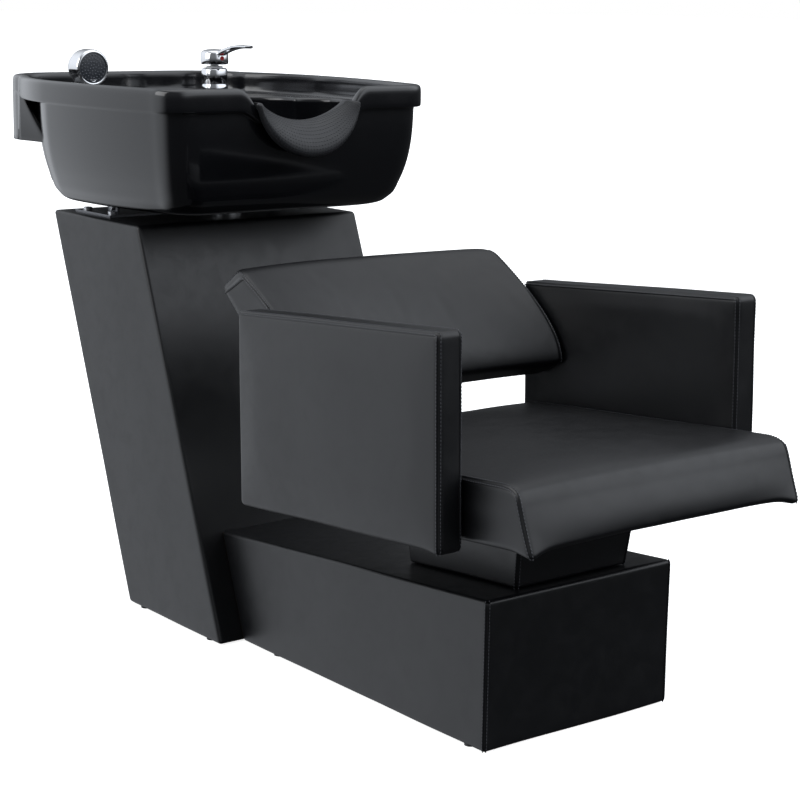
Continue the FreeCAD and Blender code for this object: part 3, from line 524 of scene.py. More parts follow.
# ------------------------------------------------------------------ blocks with rounded edges
def grid_line(length, radius, cell, stops=()):
    """Places across one side of a block: close together where its edges are rounded."""
    near = [radius * (1 - math.tan(math.radians(angle))) for angle in (45, 30, 15)]
    marks = sorted([radius, *stops, length - radius])
    middle = []
    for start, end in zip(marks, marks[1:]):
        count = max(1, math.ceil((end - start) / cell))
        middle += [start + (end - start) * step / count for step in range(count)]
    return np.array(near + middle + [length - radius] + [length - place for place in reversed(near)])


class Block:
    """A box with rounded edges, as a skin of quads, and the way its box is bent into place."""

    def __init__(self, size, radius, cell, bend, stops=((), (), ()), leave_out=None):
        self.size, self.radius, self.bend = np.array(size, dtype=float), radius, bend
        lines = [grid_line(side, radius, cell, marks) for side, marks in zip(size, stops)]
        index, self.points, self.faces = {}, [], []

        def corner(key):
            if key not in index:
                index[key] = len(self.points)
                self.points.append([lines[axis][step] for axis, step in enumerate(key)])
            return index[key]

        for axis in range(3):
            across, up = (axis + 1) % 3, (axis + 2) % 3
            for end in (0, len(lines[axis]) - 1):
                for a in range(len(lines[across]) - 1):
                    for b in range(len(lines[up]) - 1):
                        middle = ((lines[across][a] + lines[across][a + 1]) / 2,
                                  (lines[up][b] + lines[up][b + 1]) / 2)
                        if leave_out and leave_out(axis, end > 0, middle):
                            continue
                        quad = []
                        for step_a, step_b in ((a, b), (a + 1, b), (a + 1, b + 1), (a, b + 1)):
                            key = [0, 0, 0]
                            key[axis], key[across], key[up] = end, step_a, step_b
                            quad.append(corner(tuple(key)))
                        self.faces.append(quad if end else quad[::-1])
        box = np.array(self.points)
        core = np.clip(box, radius, self.size - radius)
        away = box - core
        reach = np.linalg.norm(away, axis=1, keepdims=True)
        self.box = core + radius * away / np.maximum(reach, 1e-12)
        self.points = bend(self.box)

    def piece(self, name, material="leatherette"):
        return new_object(name, self.points, self.faces, material)


def between_corners(size, corners):
    """Bend a box to eight corners: bottom then top, each from the left front round."""
    corners = np.array(corners, dtype=float)

    def bend(points):
        a, b, c = (points / np.array(size)).T[:, :, None]
        bottom = ((1 - a) * (1 - b) * corners[0] + a * (1 - b) * corners[1] + a * b * corners[2]
                  + (1 - a) * b * corners[3])
        top = ((1 - a) * (1 - b) * corners[4] + a * (1 - b) * corners[5] + a * b * corners[6]
               + (1 - a) * b * corners[7])
        return bottom * (1 - c) + top * c
    return bend


def ripple(piece, amount, wavelength, seed):
    """Gentle unevenness of a cover stretched over wadding."""
    mesh = piece.data
    points = coordinates(mesh)
    normals = np.empty(len(mesh.vertices) * 3)
    mesh.vertices.foreach_get("normal", normals)
    normals = normals.reshape(-1, 3)
    away = Vector((seed, 2 * seed, 3 * seed))
    lift = np.array([noise.noise(Vector(p) / wavelength + away) for p in points])
    set_coordinates(mesh, points + normals * (lift * amount)[:, None])


def stuff(piece, pressure, cap, held):
    """Fill a cover: cloth blown out by the foam, sewn down where held is full."""
    mesh = piece.data
    start = coordinates(mesh)
    group = piece.vertex_groups.new(name="held")
    for number, weight in enumerate(held):
        if weight > 0:
            group.add([number], float(weight), "REPLACE")
    cloth = piece.modifiers.new("cover", "CLOTH")
    settings = cloth.settings
    settings.quality = 5
    settings.mass = 0.25
    settings.tension_stiffness = settings.compression_stiffness = 18
    settings.shear_stiffness = 8
    settings.bending_stiffness = 1.5
    settings.use_pressure = True
    settings.uniform_pressure_force = pressure
    settings.effector_weights.gravity = 0
    settings.vertex_group_mass = group.name
    cloth.collision_settings.use_collision = False
    scene = bpy.context.scene
    for step in range(1, 21):
        scene.frame_set(step)
    view = bpy.context.evaluated_depsgraph_get()
    swollen = bpy.data.meshes.new_from_object(piece.evaluated_get(view))
    move = coordinates(swollen) - start
    far = np.linalg.norm(move, axis=1, keepdims=True)
    move *= np.minimum(1.0, cap / np.maximum(far, 1e-9))
    piece.modifiers.remove(cloth)
    piece.vertex_groups.clear()
    set_coordinates(mesh, start + move)
    bpy.data.meshes.remove(swollen)
    scene.frame_set(1)


# ------------------------------------------------------------------ seams and stitches
SEAM_ROWS = []


def surface_of(piece):
    """The finished skin of a piece, to find places and normals on."""
    return BVHTree.FromObject(piece, bpy.context.evaluated_depsgraph_get())


def sew(block, piece, name, side, corners):
    """A turned-in seam along edges of a block's left or right end, with stitches on both sides.

    side is 0 at the left and 1 at the right; corners are the seam's turns on that end, as Y and Z
    in the block's own box."""
    sizes = bpy.context.scene.seams
    longest_step = 0.006
    surface = surface_of(piece)
    centre = block.size[1:] / 2
    path, inwards = [], []
    for start, end in zip(corners, corners[1:]):
        start, end = np.array(start, dtype=float), np.array(end, dtype=float)
        run = end - start
        span = np.linalg.norm(run)
        normal = np.array([-run[1], run[0]]) / span
        if normal @ (centre - start) < 0:
            normal = -normal
        count = max(2, math.ceil(span / longest_step))
        for step in range(count + (end == corners[-1]).all()):
            path.append(start + run * step / count)
            inwards.append(normal)
    inwards = np.array(inwards)
    for number in range(1, len(path) - 1):
        if inwards[number - 1] @ inwards[number] < 0.9:
            inwards[number] = inwards[number - 1] + inwards[number]
    face_place = block.size[0] if side else 0.0
    face_in = -1.0 if side else 1.0

    def landed(along_face, along_side, rise):
        """The seam's path moved over the end and over the side, and raised from the skin there."""
        spots = np.array([(face_place + face_in * along_side, *(point + inward * along_face))
                          for point, inward in zip(path, inwards)])
        places, normals = [], []
        for spot in block.bend(spots):
            place, normal, _, _ = surface.find_nearest(Vector(spot))
            places.append(place + normal * rise)
            normals.append(normal)
        return places, normals

    tape, rise = sizes.tape, sizes.rise
    # two swellings with a groove between them, their edges and middle sunk into the cover
    section = [(tape, 0, -0.4 * rise), (0.85 * tape, 0, 0.8 * rise), (0.45 * tape, 0, rise),
               (0.08 * tape, 0, 0.15 * rise), (0, 0.08 * tape, 0.15 * rise), (0, 0.45 * tape, rise),
               (0, 0.85 * tape, 0.8 * rise), (0, tape, -0.4 * rise), (0, 0.5 * tape, -1.5 * rise),
               (0.5 * tape, 0, -1.5 * rise)]
    columns = [landed(*spot)[0] for spot in section]
    count, turns = len(path), len(section)
    points = [columns[turn][step] for step in range(count) for turn in range(turns)]
    faces = [[step * turns + turn, step * turns + (turn + 1) % turns,
              (step + 1) * turns + (turn + 1) % turns, (step + 1) * turns + turn]
             for step in range(count - 1) for turn in range(turns)]
    faces += [list(range(turns))[::-1], [(count - 1) * turns + turn for turn in range(turns)]]
    strip = new_object(name, points, faces, "leatherette")
    face_outwards(strip)
    fit(strip, "stand", "leatherette")
    for along in ((sizes.row, 0), (0, sizes.row)):
        SEAM_ROWS.append(landed(*along, 1.05 * rise))


def geometry_tree(name, inputs):
    """An empty Geometry Nodes tree with a mesh in, a mesh out and named sizes."""
    tree = bpy.data.node_groups.new(name, "GeometryNodeTree")
    tree.interface.new_socket("Geometry", in_out="INPUT", socket_type="NodeSocketGeometry")
    for label, kind, default in inputs:
        socket = tree.interface.new_socket(label, in_out="INPUT", socket_type=kind)
        if default is not None:
            socket.default_value = default
    tree.interface.new_socket("Geometry", in_out="OUTPUT", socket_type="NodeSocketGeometry")
    return (tree, node_in(tree, "NodeGroupInput", (-1000, 0)), node_in(tree, "NodeGroupOutput", (900, 0)))


def laid_beads(tree, given, points, rotation, last):
    """Beads on points: Length by Radius by Rise, realised, in the tree's material."""
    bead = node_in(tree, "GeometryNodeMeshUVSphere", (-200, -300), Segments=6, Rings=4)
    bead.inputs["Radius"].default_value = 1.0
    scale = node_in(tree, "ShaderNodeCombineXYZ", (-200, -500))
    for label, socket in (("Length", "X"), ("Radius", "Y"), ("Rise", "Z")):
        wire(tree, given.outputs[label], scale.inputs[socket])
    laid = node_in(tree, "GeometryNodeInstanceOnPoints", (200, 0))
    wire(tree, points, laid.inputs["Points"])
    wire(tree, bead.outputs["Mesh"], laid.inputs["Instance"])
    wire(tree, rotation, laid.inputs["Rotation"])
    wire(tree, scale.outputs["Vector"], laid.inputs["Scale"])
    real = node_in(tree, "GeometryNodeRealizeInstances", (400, 0))
    wire(tree, laid.outputs["Instances"], real.inputs["Geometry"])
    smooth = node_in(tree, "GeometryNodeSetShadeSmooth", (550, 0))
    wire(tree, real.outputs["Geometry"], smooth.inputs["Geometry"])
    painted = node_in(tree, "GeometryNodeSetMaterial", (700, 0))
    wire(tree, smooth.outputs["Geometry"], painted.inputs["Geometry"])
    wire(tree, given.outputs["Material"], painted.inputs["Material"])
    wire(tree, painted.outputs["Geometry"], last.inputs["Geometry"])


BEAD_SIZES = [("Length", "NodeSocketFloat", 0.0016), ("Radius", "NodeSocketFloat", 0.0004),
              ("Rise", "NodeSocketFloat", 0.0004), ("Material", "NodeSocketMaterial", None)]


def stitch_tree():
    """Stitches along every line of the mesh, each lying flat on the surface below it."""
    tree, given, last = geometry_tree("Stitch rows", [("Pitch", "NodeSocketFloat", 0.0046), *BEAD_SIZES])
    lines = node_in(tree, "GeometryNodeMeshToCurve", (-800, 100))
    wire(tree, given.outputs["Geometry"], lines.inputs["Mesh"])
    spaced = node_in(tree, "GeometryNodeResampleCurve", (-600, 100), mode="LENGTH")
    wire(tree, lines.outputs["Curve"], spaced.inputs["Curve"])
    wire(tree, given.outputs["Pitch"], spaced.inputs["Length"])
    along = node_in(tree, "GeometryNodeInputTangent", (-600, -150))
    lay = node_in(tree, "GeometryNodeInputNamedAttribute", (-600, -260), data_type="FLOAT_VECTOR")
    lay.inputs["Name"].default_value = "lay"
    first = node_in(tree, "FunctionNodeAlignRotationToVector", (-400, -100), axis="X")
    wire(tree, along.outputs["Tangent"], first.inputs["Vector"])
    second = node_in(tree, "FunctionNodeAlignRotationToVector", (-200, -100), axis="Z", pivot_axis="X")
    wire(tree, first.outputs["Rotation"], second.inputs["Rotation"])
    wire(tree, lay.outputs["Attribute"], second.inputs["Vector"])
    laid_beads(tree, given, spaced.outputs["Curve"], second.outputs["Rotation"], last)
    return tree


def dot_tree():
    """A dot standing on every point of the mesh."""
    tree, given, last = geometry_tree("Raised dots", BEAD_SIZES)
    lay = node_in(tree, "GeometryNodeInputNamedAttribute", (-600, -260), data_type="FLOAT_VECTOR")
    lay.inputs["Name"].default_value = "lay"
    stand = node_in(tree, "FunctionNodeAlignRotationToVector", (-200, -100), axis="Z")
    wire(tree, lay.outputs["Attribute"], stand.inputs["Vector"])
    laid_beads(tree, given, given.outputs["Geometry"], stand.outputs["Rotation"], last)
    return tree


def grown(name, points, normals, chains, tree, sizes, material):
    """A plain mesh made by a Geometry Nodes tree from points, their normals and their lines."""
    edges = [(start + step, start + step + 1) for start, count in chains for step in range(count - 1)]
    carrier = new_object(name + "_lines", points, [], None, edges)
    lay = carrier.data.attributes.new("lay", "FLOAT_VECTOR", "POINT")
    lay.data.foreach_set("vector", np.array(normals, dtype=np.float32).ravel())
    grow = carrier.modifiers.new("grow", "NODES")
    grow.node_group = tree
    wanted = {**sizes, "Material": material_of(material)}
    for item in tree.interface.items_tree:
        if item.item_type == "SOCKET" and item.in_out == "INPUT" and item.name in wanted:
            grow[item.identifier] = wanted[item.name]
    view = bpy.context.evaluated_depsgraph_get()
    mesh = bpy.data.meshes.new_from_object(carrier.evaluated_get(view))
    mesh.name = name
    if "lay" in mesh.attributes:
        mesh.attributes.remove(mesh.attributes["lay"])
    bpy.data.objects.remove(carrier)
    if not mesh.polygons:
        raise RuntimeError(name + " came out empty")
    made = bpy.data.objects.new(name, mesh)
    bpy.context.scene.collection.objects.link(made)
    return made


# ------------------------------------------------------------------ carcass covers
TURN_IN = 0.02  # how far a cover is turned in under an open bottom


def column_front(z):
    """Y of the column's slanting front at a height above the floor."""
    (_, front, foot), (_, _, head) = NODE["column_cover"]
    return front + bpy.context.scene.carcass.lean * (z - foot) / (head - foot)


def cover_thickness(piece):
    """Give a cover its thickness inwards, then smooth it."""
    wall = piece.modifiers.new("thickness", "SOLIDIFY")
    wall.thickness = bpy.context.scene.carcass.skin
    wall.offset = -1
    subdivide(piece)


class BACKWASH_OT_column(bpy.types.Operator):
    """Cover the slanting column, its service panel left open at the back"""
    bl_idname = "backwash.column"
    bl_label = "Column cover"

    def execute(self, context):
        carcass = context.scene.carcass
        (x0, _, z0), (x1, _, z1) = NODE["column_cover"]
        size = (x1 - x0, carcass.depth, z1 - z0)
        corners = []
        for z in (z0, z1):
            front, rear = column_front(z), column_front(z) + carcass.depth
            corners += [(x0, front, z), (x1, front, z), (x1, rear, z), (x0, rear, z)]
        margin, sill = carcass.panel_margin, carcass.panel_bottom - z0
        head = size[2] - carcass.panel_bottom

        def leave_out(axis, far, middle):
            if axis == 1 and far:
                z, x = middle
                return margin < x < size[0] - margin and sill < z < head
            if axis == 2 and not far:
                x, y = middle
                return TURN_IN < x < size[0] - TURN_IN and TURN_IN < y < size[1] - TURN_IN
            return False

        block = Block(size, carcass.edge, cell=0.014, bend=between_corners(size, corners),
                      stops=((TURN_IN, margin, size[0] - margin, size[0] - TURN_IN),
                             (TURN_IN, size[1] - TURN_IN), (sill, head)), leave_out=leave_out)
        piece = block.piece("column_covering")
        ripple(piece, amount=0.0011, wavelength=0.16, seed=1.0)
        cover_thickness(piece)
        fit(piece, "stand", "leatherette", "column_cover")
        return {"FINISHED"}


class BACKWASH_OT_plinth(bpy.types.Operator):
    """Cover the plinth and sew its two front corners"""
    bl_idname = "backwash.plinth"
    bl_label = "Plinth cover"

    def execute(self, context):
        carcass = context.scene.carcass
        (x0, y0, z0), (x1, _, z1) = NODE["plinth_cover"]
        rear = carcass.plinth_rear
        low_rear, high_rear = column_front(z0), column_front(rear)
        corners = [(x0, y0, z0), (x1, y0, z0), (x1, low_rear, z0), (x0, low_rear, z0),
                   (x0, y0, z1), (x1, y0, z1), (x1, high_rear, rear), (x0, high_rear, rear)]
        size = (x1 - x0, high_rear - y0, z1 - z0)

        def leave_out(axis, far, middle):
            if axis == 2 and not far:
                x, y = middle
                return TURN_IN < x < size[0] - TURN_IN and y > TURN_IN
            return axis == 1 and far

        block = Block(size, carcass.edge, cell=0.014, bend=between_corners(size, corners),
                      stops=((TURN_IN, size[0] - TURN_IN), (TURN_IN,), ()), leave_out=leave_out)
        piece = block.piece("plinth_covering")
        ripple(piece, amount=0.0011, wavelength=0.15, seed=2.0)
        cover_thickness(piece)
        for side in (0, 1):
            sew(block, piece, "plinth_seam_" + ("left", "right")[side], side, [(0, size[2]), (0, 0)])
        fit(piece, "stand", "leatherette", "plinth_cover")
        return {"FINISHED"}


class BACKWASH_OT_pedestal(bpy.types.Operator):
    """Cover the flared pedestal under the seat and sew its front corners"""
    bl_idname = "backwash.pedestal"
    bl_label = "Pedestal cover"

    def execute(self, context):
        carcass = context.scene.carcass
        (x0, y0, z0), (x1, y1, z1) = NODE["pedestal_cover"]
        flare = carcass.pedestal_flare
        plinth_low, plinth_high = low("plinth_cover", 1), high("plinth_cover", 2)
        slope = ((plinth_high - carcass.plinth_rear)
                 / (column_front(carcass.plinth_rear) - plinth_low))
        drop = math.tan(context.scene.seat.tilt)

        def foot(y):
            return plinth_high - slope * (y - plinth_low)

        def head(y):
            return z1 - drop * (y - y0)

        inset = flare / 2
        corners = [(x0 + inset, y0 + flare, foot(y0 + flare)), (x1 - inset, y0 + flare, foot(y0 + flare)),
                   (x1 - inset, y1 - flare, foot(y1 - flare)), (x0 + inset, y1 - flare, foot(y1 - flare)),
                   (x0, y0, head(y0)), (x1, y0, head(y0)), (x1, y1, head(y1)), (x0, y1, head(y1))]
        size = (x1 - x0, y1 - y0, z1 - z0)
        block = Block(size, carcass.edge, cell=0.012, bend=between_corners(size, corners),
                      leave_out=lambda axis, far, middle: axis == 2)
        piece = block.piece("pedestal_covering")
        ripple(piece, amount=0.0009, wavelength=0.09, seed=3.0)
        cover_thickness(piece)
        for side in (0, 1):
            sew(block, piece, "pedestal_seam_" + ("left", "right")[side], side,
                [(0, size[2]), (0, 0)])
        fit(piece, "stand", "leatherette", "pedestal_cover", "pedestal_frame")
        return {"FINISHED"}


# ------------------------------------------------------------------ seat, arms and backrest
def seat_place(x, along, up):
    """Places in the unit's frame from the seat's tipped frame, which starts at the arms' lower front."""
    seat = bpy.context.scene.seat
    tilt = seat.tilt
    _, arm_front, arm_bottom = NODE["arm_pad_left"][0]
    origin_y = arm_front + seat.arm_rake * math.cos(tilt) - seat.arm_height * math.sin(tilt)
    origin_z = arm_bottom + seat.arm_length * math.sin(tilt)
    y = origin_y + along * math.cos(tilt) + up * math.sin(tilt)
    z = origin_z - along * math.sin(tilt) + up * math.cos(tilt)
    return np.stack([x, y, z], axis=1)


def domed(share, power):
    """One at the middle of a side, nought at its ends."""
    return 1 - np.abs(2 * share - 1) ** power


def held_at(box, size, sewn, band):
    """Full on the sewn edges of a block, fading over a band into nothing on its faces."""
    edge = np.sort(np.minimum(box, np.array(size) - box), axis=1)
    near = edge[:, 1]
    weight = np.clip(1 - (near - sewn) / band, 0, 1)
    return weight ** 2


class BACKWASH_OT_arms(bpy.types.Operator):
    """Stuff the two arm pads and sew their boxing"""
    bl_idname = "backwash.arms"
    bl_label = "Arm pads"

    def execute(self, context):
        seat = context.scene.seat
        fullness, hollow, toe_tuck, toe_reach = 0.0035, 0.0008, 0.004, 0.02
        for outer, name in enumerate(("arm_pad_left", "arm_pad_right")):
            (x0, _, _), (x1, _, _) = NODE[name]
            size = (x1 - x0, seat.arm_length, seat.arm_height)

            def bend(points, x0=x0, outer=outer, size=size):
                """Full on the outer face, a little hollow on the inner one, tucked in at the toe."""
                a, b, c = (points / np.array(size)).T
                swell = fullness * domed(b, 4) * domed(c, 4)
                outwards = np.where(a < 0.5, -1, 1) * np.abs(2 * a - 1)
                is_outer = (outwards > 0) == bool(outer)
                x = x0 + points[:, 0] + outwards * np.where(is_outer, swell, -hollow * domed(c, 4))
                tuck = toe_tuck * np.exp(-(points[:, 1] ** 2 + points[:, 2] ** 2) / toe_reach ** 2)
                return seat_place(x, points[:, 1] - seat.arm_rake * c, points[:, 2] - tuck)

            block = Block(size, radius=0.009, cell=0.009, bend=bend)
            piece = block.piece(name.replace("pad", "cushion"))
            held = held_at(block.box, size, sewn=0.003, band=0.03)
            stuff(piece, seat.pressure, cap=0.35 * seat.swell, held=held)
            ripple(piece, amount=0.0009, wavelength=0.11, seed=4.0 + outer)
            subdivide(piece)
            outline = [(seat.arm_length, seat.arm_height), (0, seat.arm_height), (0, 0)]
            for side, part in ((outer, "outer"), (1 - outer, "inner")):
                sew(block, piece, "%s_seam_%s" % (name, part), side, outline)
            fit(piece, "stand", "leatherette", name)
        return {"FINISHED"}


class BACKWASH_OT_seat(bpy.types.Operator):
    """Stuff the seat with its rolled front edge and sew the side boxing"""
    bl_idname = "backwash.seat"
    bl_label = "Seat cushion"

    def execute(self, context):
        seat = context.scene.seat
        (x0, _, _), (x1, _, _) = NODE["seat_cushion"]
        size = (x1 - x0, seat.seat_rear + seat.seat_front, seat.seat_depth)
        roll, roll_drop, lean = 0.044, 0.017, 0.018
        front_bulge, side_pull, front_sag = 0.006, 0.0035, 0.004
        corner_reach, corner_back, corner_down = 0.022, 0.004, 0.007

        def bend(points):
            """Domed on top, rolled and bulging at the front, drawn in at the sides and front corners."""
            a, b, c = (points / np.array(size)).T
            from_front = points[:, 1]
            rolled = np.clip(from_front / roll, 0, 1)
            top = size[2] - roll_drop * (1 - np.sqrt(1 - (1 - rolled) ** 2))
            crown = seat.seat_crown * domed(a, 2.6) * domed(np.clip(b, 0, 1), 5) * c
            up = seat.seat_bottom + points[:, 2] * top / size[2] + crown
            along = from_front - seat.seat_front + lean * c * np.exp(-from_front / 0.05)
            bulge = front_bulge * domed(a, 3) * domed(c, 2) * np.exp(-from_front / 0.02)
            pull = side_pull * domed(b, 4) * domed(c, 2) * (2 * a - 1)
            corner = np.minimum(points[:, 0], size[0] - points[:, 0])
            tip = np.exp(-(corner ** 2 + from_front ** 2 + points[:, 2] ** 2) / corner_reach ** 2)
            sag = front_sag * domed(a, 2) * (1 - c) * np.exp(-from_front / 0.04)
            along -= bulge + corner_back * tip
            up += sag - corner_down * tip
            return seat_place(x0 + points[:, 0] - pull, along, up)

        block = Block(size, radius=0.010, cell=0.010, bend=bend)
        piece = block.piece("seat_cushioning")
        held = held_at(block.box, size, sewn=0.004, band=0.05)
        stuff(piece, seat.pressure, cap=seat.swell, held=held)
        ripple(piece, amount=0.0010, wavelength=0.10, seed=6.0)
        subdivide(piece)
        _, depth, top = size
        for side in (0, 1):
            sew(block, piece, "seat_seam_" + ("left", "right")[side], side,
                [(depth, top), (0.004, top), (0.0, 0)])
        fit(piece, "stand", "leatherette", "seat_cushion")
        return {"FINISHED"}


# the backrest's section as (Y, Z): lower end, pull and upper end of each face, at its middle and ends
BACK_MIDDLE = {"front": ((-0.177, 0.416), (-0.176, 0.457), (-0.028, 0.583)),
               "rear": ((-0.138, 0.390), (-0.060, 0.475), (0.011, 0.551))}
BACK_END = {"front": ((-0.238, 0.428), (-0.248, 0.490), (-0.064, 0.585)),
            "rear": ((-0.186, 0.400), (-0.110, 0.475), (-0.020, 0.551))}


def bowed(curve, share):
    """Places along a curve through its ends, drawn towards its middle point."""
    start, pull, end = (np.array(point)[None, :] for point in curve)
    t = share[:, None]
    return (1 - t) ** 2 * start + 2 * t * (1 - t) * pull + t ** 2 * end


class BACKWASH_OT_backrest(bpy.types.Operator):
    """Stuff the wrap-round backrest and sew its end panels"""
    bl_idname = "backwash.backrest"
    bl_label = "Backrest"

    def execute(self, context):
        seat = context.scene.seat
        half = high("backrest_pad", 0) + 0.002
        size = (2 * half, 0.050, 0.235)
        corner, fullness, out = 0.022, 0.006, (-0.77, 0.64)

        def bend(points):
            """Wrapped forwards at its ends, with rounded top corners and a full front."""
            a, b, c = (points / np.array(size)).T
            wrap = np.abs(2 * a - 1) ** 2.2
            from_end = np.minimum(points[:, 0], size[0] - points[:, 0])
            short = np.maximum(0, corner - from_end)
            rounding = corner - np.sqrt(np.maximum(0, corner ** 2 - short ** 2))
            c = c * (1 - 0.5 * rounding / size[2])
            sides = {}
            for part in ("front", "rear"):
                middle, end = bowed(BACK_MIDDLE[part], c), bowed(BACK_END[part], c)
                sides[part] = middle * (1 - wrap[:, None]) + end * wrap[:, None]
            section = sides["front"] * (1 - b[:, None]) + sides["rear"] * b[:, None]
            swell = fullness * domed(a, 4) * domed(c, 3) * (1 - 2 * b)
            pulled = fullness * domed(c, 3) * domed(b, 3) * (2 * a - 1)
            x = -half + points[:, 0] - pulled
            return np.stack([x, section[:, 0] + swell * out[0], section[:, 1] + swell * out[1]], axis=1)

        block = Block(size, radius=0.012, cell=0.009, bend=bend)
        piece = block.piece("backrest_cushioning")
        held = held_at(block.box, size, sewn=0.004, band=0.035)
        stuff(piece, seat.pressure, cap=0.6 * seat.swell, held=held)
        ripple(piece, amount=0.0010, wavelength=0.10, seed=7.0)
        subdivide(piece)
        _, depth, top = size
        for side in (0, 1):
            sew(block, piece, "backrest_seam_" + ("left", "right")[side], side,
                [(0, 0), (0, top), (depth, top)])
        fit(piece, "stand", "leatherette", "backrest_pad", "backrest_shell", "back_plate_left",
            "back_plate_right", "back_bolts")
        return {"FINISHED"}


class BACKWASH_OT_stitches(bpy.types.Operator):
    """Lay the stitches along every seam row"""
    bl_idname = "backwash.stitches"
    bl_label = "Stitches"

    def execute(self, context):
        sizes = context.scene.seams
        points, normals, chains = [], [], []
        for places, lifts in SEAM_ROWS:
            chains.append((len(points), len(places)))
            points += places
            normals += lifts
        made = grown("stitches", points, normals, chains, stitch_tree(),
                     {"Pitch": sizes.pitch, "Length": sizes.stitch / 2, "Radius": sizes.thread,
                      "Rise": sizes.thread}, "sewing_thread")
        fit(made, "stand", "leatherette")
        return {"FINISHED"}


# ------------------------------------------------------------------ basin
BASIN_OUTLINE = {"front": 0.097, "front_half": 0.245, "half": 0.268, "widest": 0.430,
                 "rear_half": 0.222, "front_radius": 0.046, "rear_radius": 0.095, "rear": 0.687}
# outside below the band: share of the height, then how far drawn in at the sides, front and rear
BASIN_BODY = ((0.0, 0.085, 0.085, 0.100), (0.025, 0.056, 0.056, 0.088), (0.088, 0.039, 0.037, 0.076),
              (0.25, 0.025, 0.023, 0.073), (0.465, 0.0155, 0.0135, 0.071), (0.72, 0.010, 0.009, 0.069),
              (1.0, 0.008, 0.008, 0.066))


# the upright band, the rounded rim and the inner side: lift above the deck, drawn in all round
BAND_AND_RIM = ((0.0, 0.003), (0.0006, 0.0008), (0.0025, 0.0), (0.012, 0.0), (0.022, 0.0),
                (0.0295, 0.0003), (0.0325, 0.0013), (0.0345, 0.0035), (0.035, 0.0065), (0.035, 0.0085),
                (0.0345, 0.0112), (0.0325, 0.0132), (0.029, 0.014), (0.018, 0.014), (0.006, 0.0144),
                (0.0015, 0.0152))


def three_point_arc(start, through, end, steps):
    """Places on the arc from start to end through a third place, start left out."""
    (ax, ay), (bx, by), (cx, cy) = start, through, end
    a2, b2, c2 = ax * ax + ay * ay, bx * bx + by * by, cx * cx + cy * cy
    twice_area = 2 * (ax * (by - cy) + bx * (cy - ay) + cx * (ay - by))
    ux = (a2 * (by - cy) + b2 * (cy - ay) + c2 * (ay - by)) / twice_area
    uy = (a2 * (cx - bx) + b2 * (ax - cx) + c2 * (bx - ax)) / twice_area
    radius = math.hypot(ax - ux, ay - uy)
    first = math.atan2(ay - uy, ax - ux)
    middle = (math.atan2(by - uy, bx - ux) - first) % (2 * math.pi)
    sweep = (math.atan2(cy - uy, cx - ux) - first) % (2 * math.pi)
    if middle > sweep:
        sweep -= 2 * math.pi
    return [(ux + radius * math.cos(first + sweep * step / steps),
             uy + radius * math.sin(first + sweep * step / steps)) for step in range(1, steps + 1)]


def basin_ring(side, front, rear):
    """The basin's outline seen from above, drawn in by side, front and rear: always as many places."""
    o = BASIN_OUTLINE
    y0, y1 = o["front"] + front, o["rear"] - rear
    wide_front, wide, wide_rear = o["front_half"] - side, o["half"] - side, o["rear_half"] - side
    r0, r1 = o["front_radius"], o["rear_radius"]
    shortest_rear_side = 0.04
    middle = min(o["widest"], y1 - r1 - shortest_rear_side)
    wide -= (wide - wide_front) * ((o["widest"] - middle) / (o["widest"] - y0 - r0)) ** 2
    corner = 1 - math.sqrt(0.5)
    swell = 0.009
    turns = [((wide_front - r0 * corner, y0 + r0 * corner), (wide_front, y0 + r0), 8),
             (((wide_front + wide) / 2 + swell, (y0 + r0 + middle) / 2), (wide, middle), 22),
             (((wide + wide_rear) / 2 + swell, (middle + y1 - r1) / 2), (wide_rear, y1 - r1), 16),
             ((wide_rear - r1 * corner, y1 - r1 * corner), (wide_rear - r1, y1), 14)]
    half_front = wide_front - r0
    front_steps, rear_steps = 34, 8
    right = [(half_front * step / front_steps, y0) for step in range(front_steps + 1)]
    for through, end, steps in turns:
        right += three_point_arc(right[-1], through, end, steps)
    rear_x = right[-1][0]
    right += [(rear_x * (1 - step / rear_steps), y1) for step in range(1, rear_steps + 1)]
    left = [(-x, y) for x, y in reversed(right[1:-1])]
    return np.array(right + left)


def body_insets(share):
    """How far the basin's outside is drawn in at a share of its height, smoothly."""
    rows = np.array(BASIN_BODY)
    slopes = np.gradient(rows[:, 1:], rows[:, 0], axis=0)
    place = min(max(int(np.searchsorted(rows[:, 0], share, side="right")) - 1, 0), len(rows) - 2)
    span = rows[place + 1, 0] - rows[place, 0]
    t = (share - rows[place, 0]) / span
    h00, h10 = 2 * t ** 3 - 3 * t ** 2 + 1, t ** 3 - 2 * t ** 2 + t
    h01, h11 = 3 * t ** 2 - 2 * t ** 3, t ** 3 - t ** 2
    return (h00 * rows[place, 1:] + h10 * span * slopes[place]
            + h01 * rows[place + 1, 1:] + h11 * span * slopes[place + 1])


def notch_drop(x, full):
    """How far the rim dips at a distance from the middle: an S-curve down to the neck's hollow."""
    basin = bpy.context.scene.basin
    turn, turn_rise = 0.74, 0.42
    share = np.clip(np.abs(x) / basin.notch_half, 0, 1)
    hollow = basin.notch_drop * (1 - (share / turn) ** 2 * turn_rise)
    up_shoulder = np.clip((share - turn) / (1 - turn), 0, 1)
    shoulder = basin.notch_drop * (1 - turn_rise) * (1 - up_shoulder) ** 1.9
    return np.where(share < turn, hollow, shoulder) * full


def dip_notch(points, rim):
    """Lower the front wall where the neck lies, most at the rim and less below it."""
    x, y, z = points.T
    reach, behind_wall, fade = 0.075, 0.165, 0.03
    near = np.clip((behind_wall - y) / fade, 0, 1)
    full = np.clip((z - (rim - reach)) / reach, 0, 1) ** 1.3
    return np.stack([x, y, z - notch_drop(x, full) * near], axis=1)


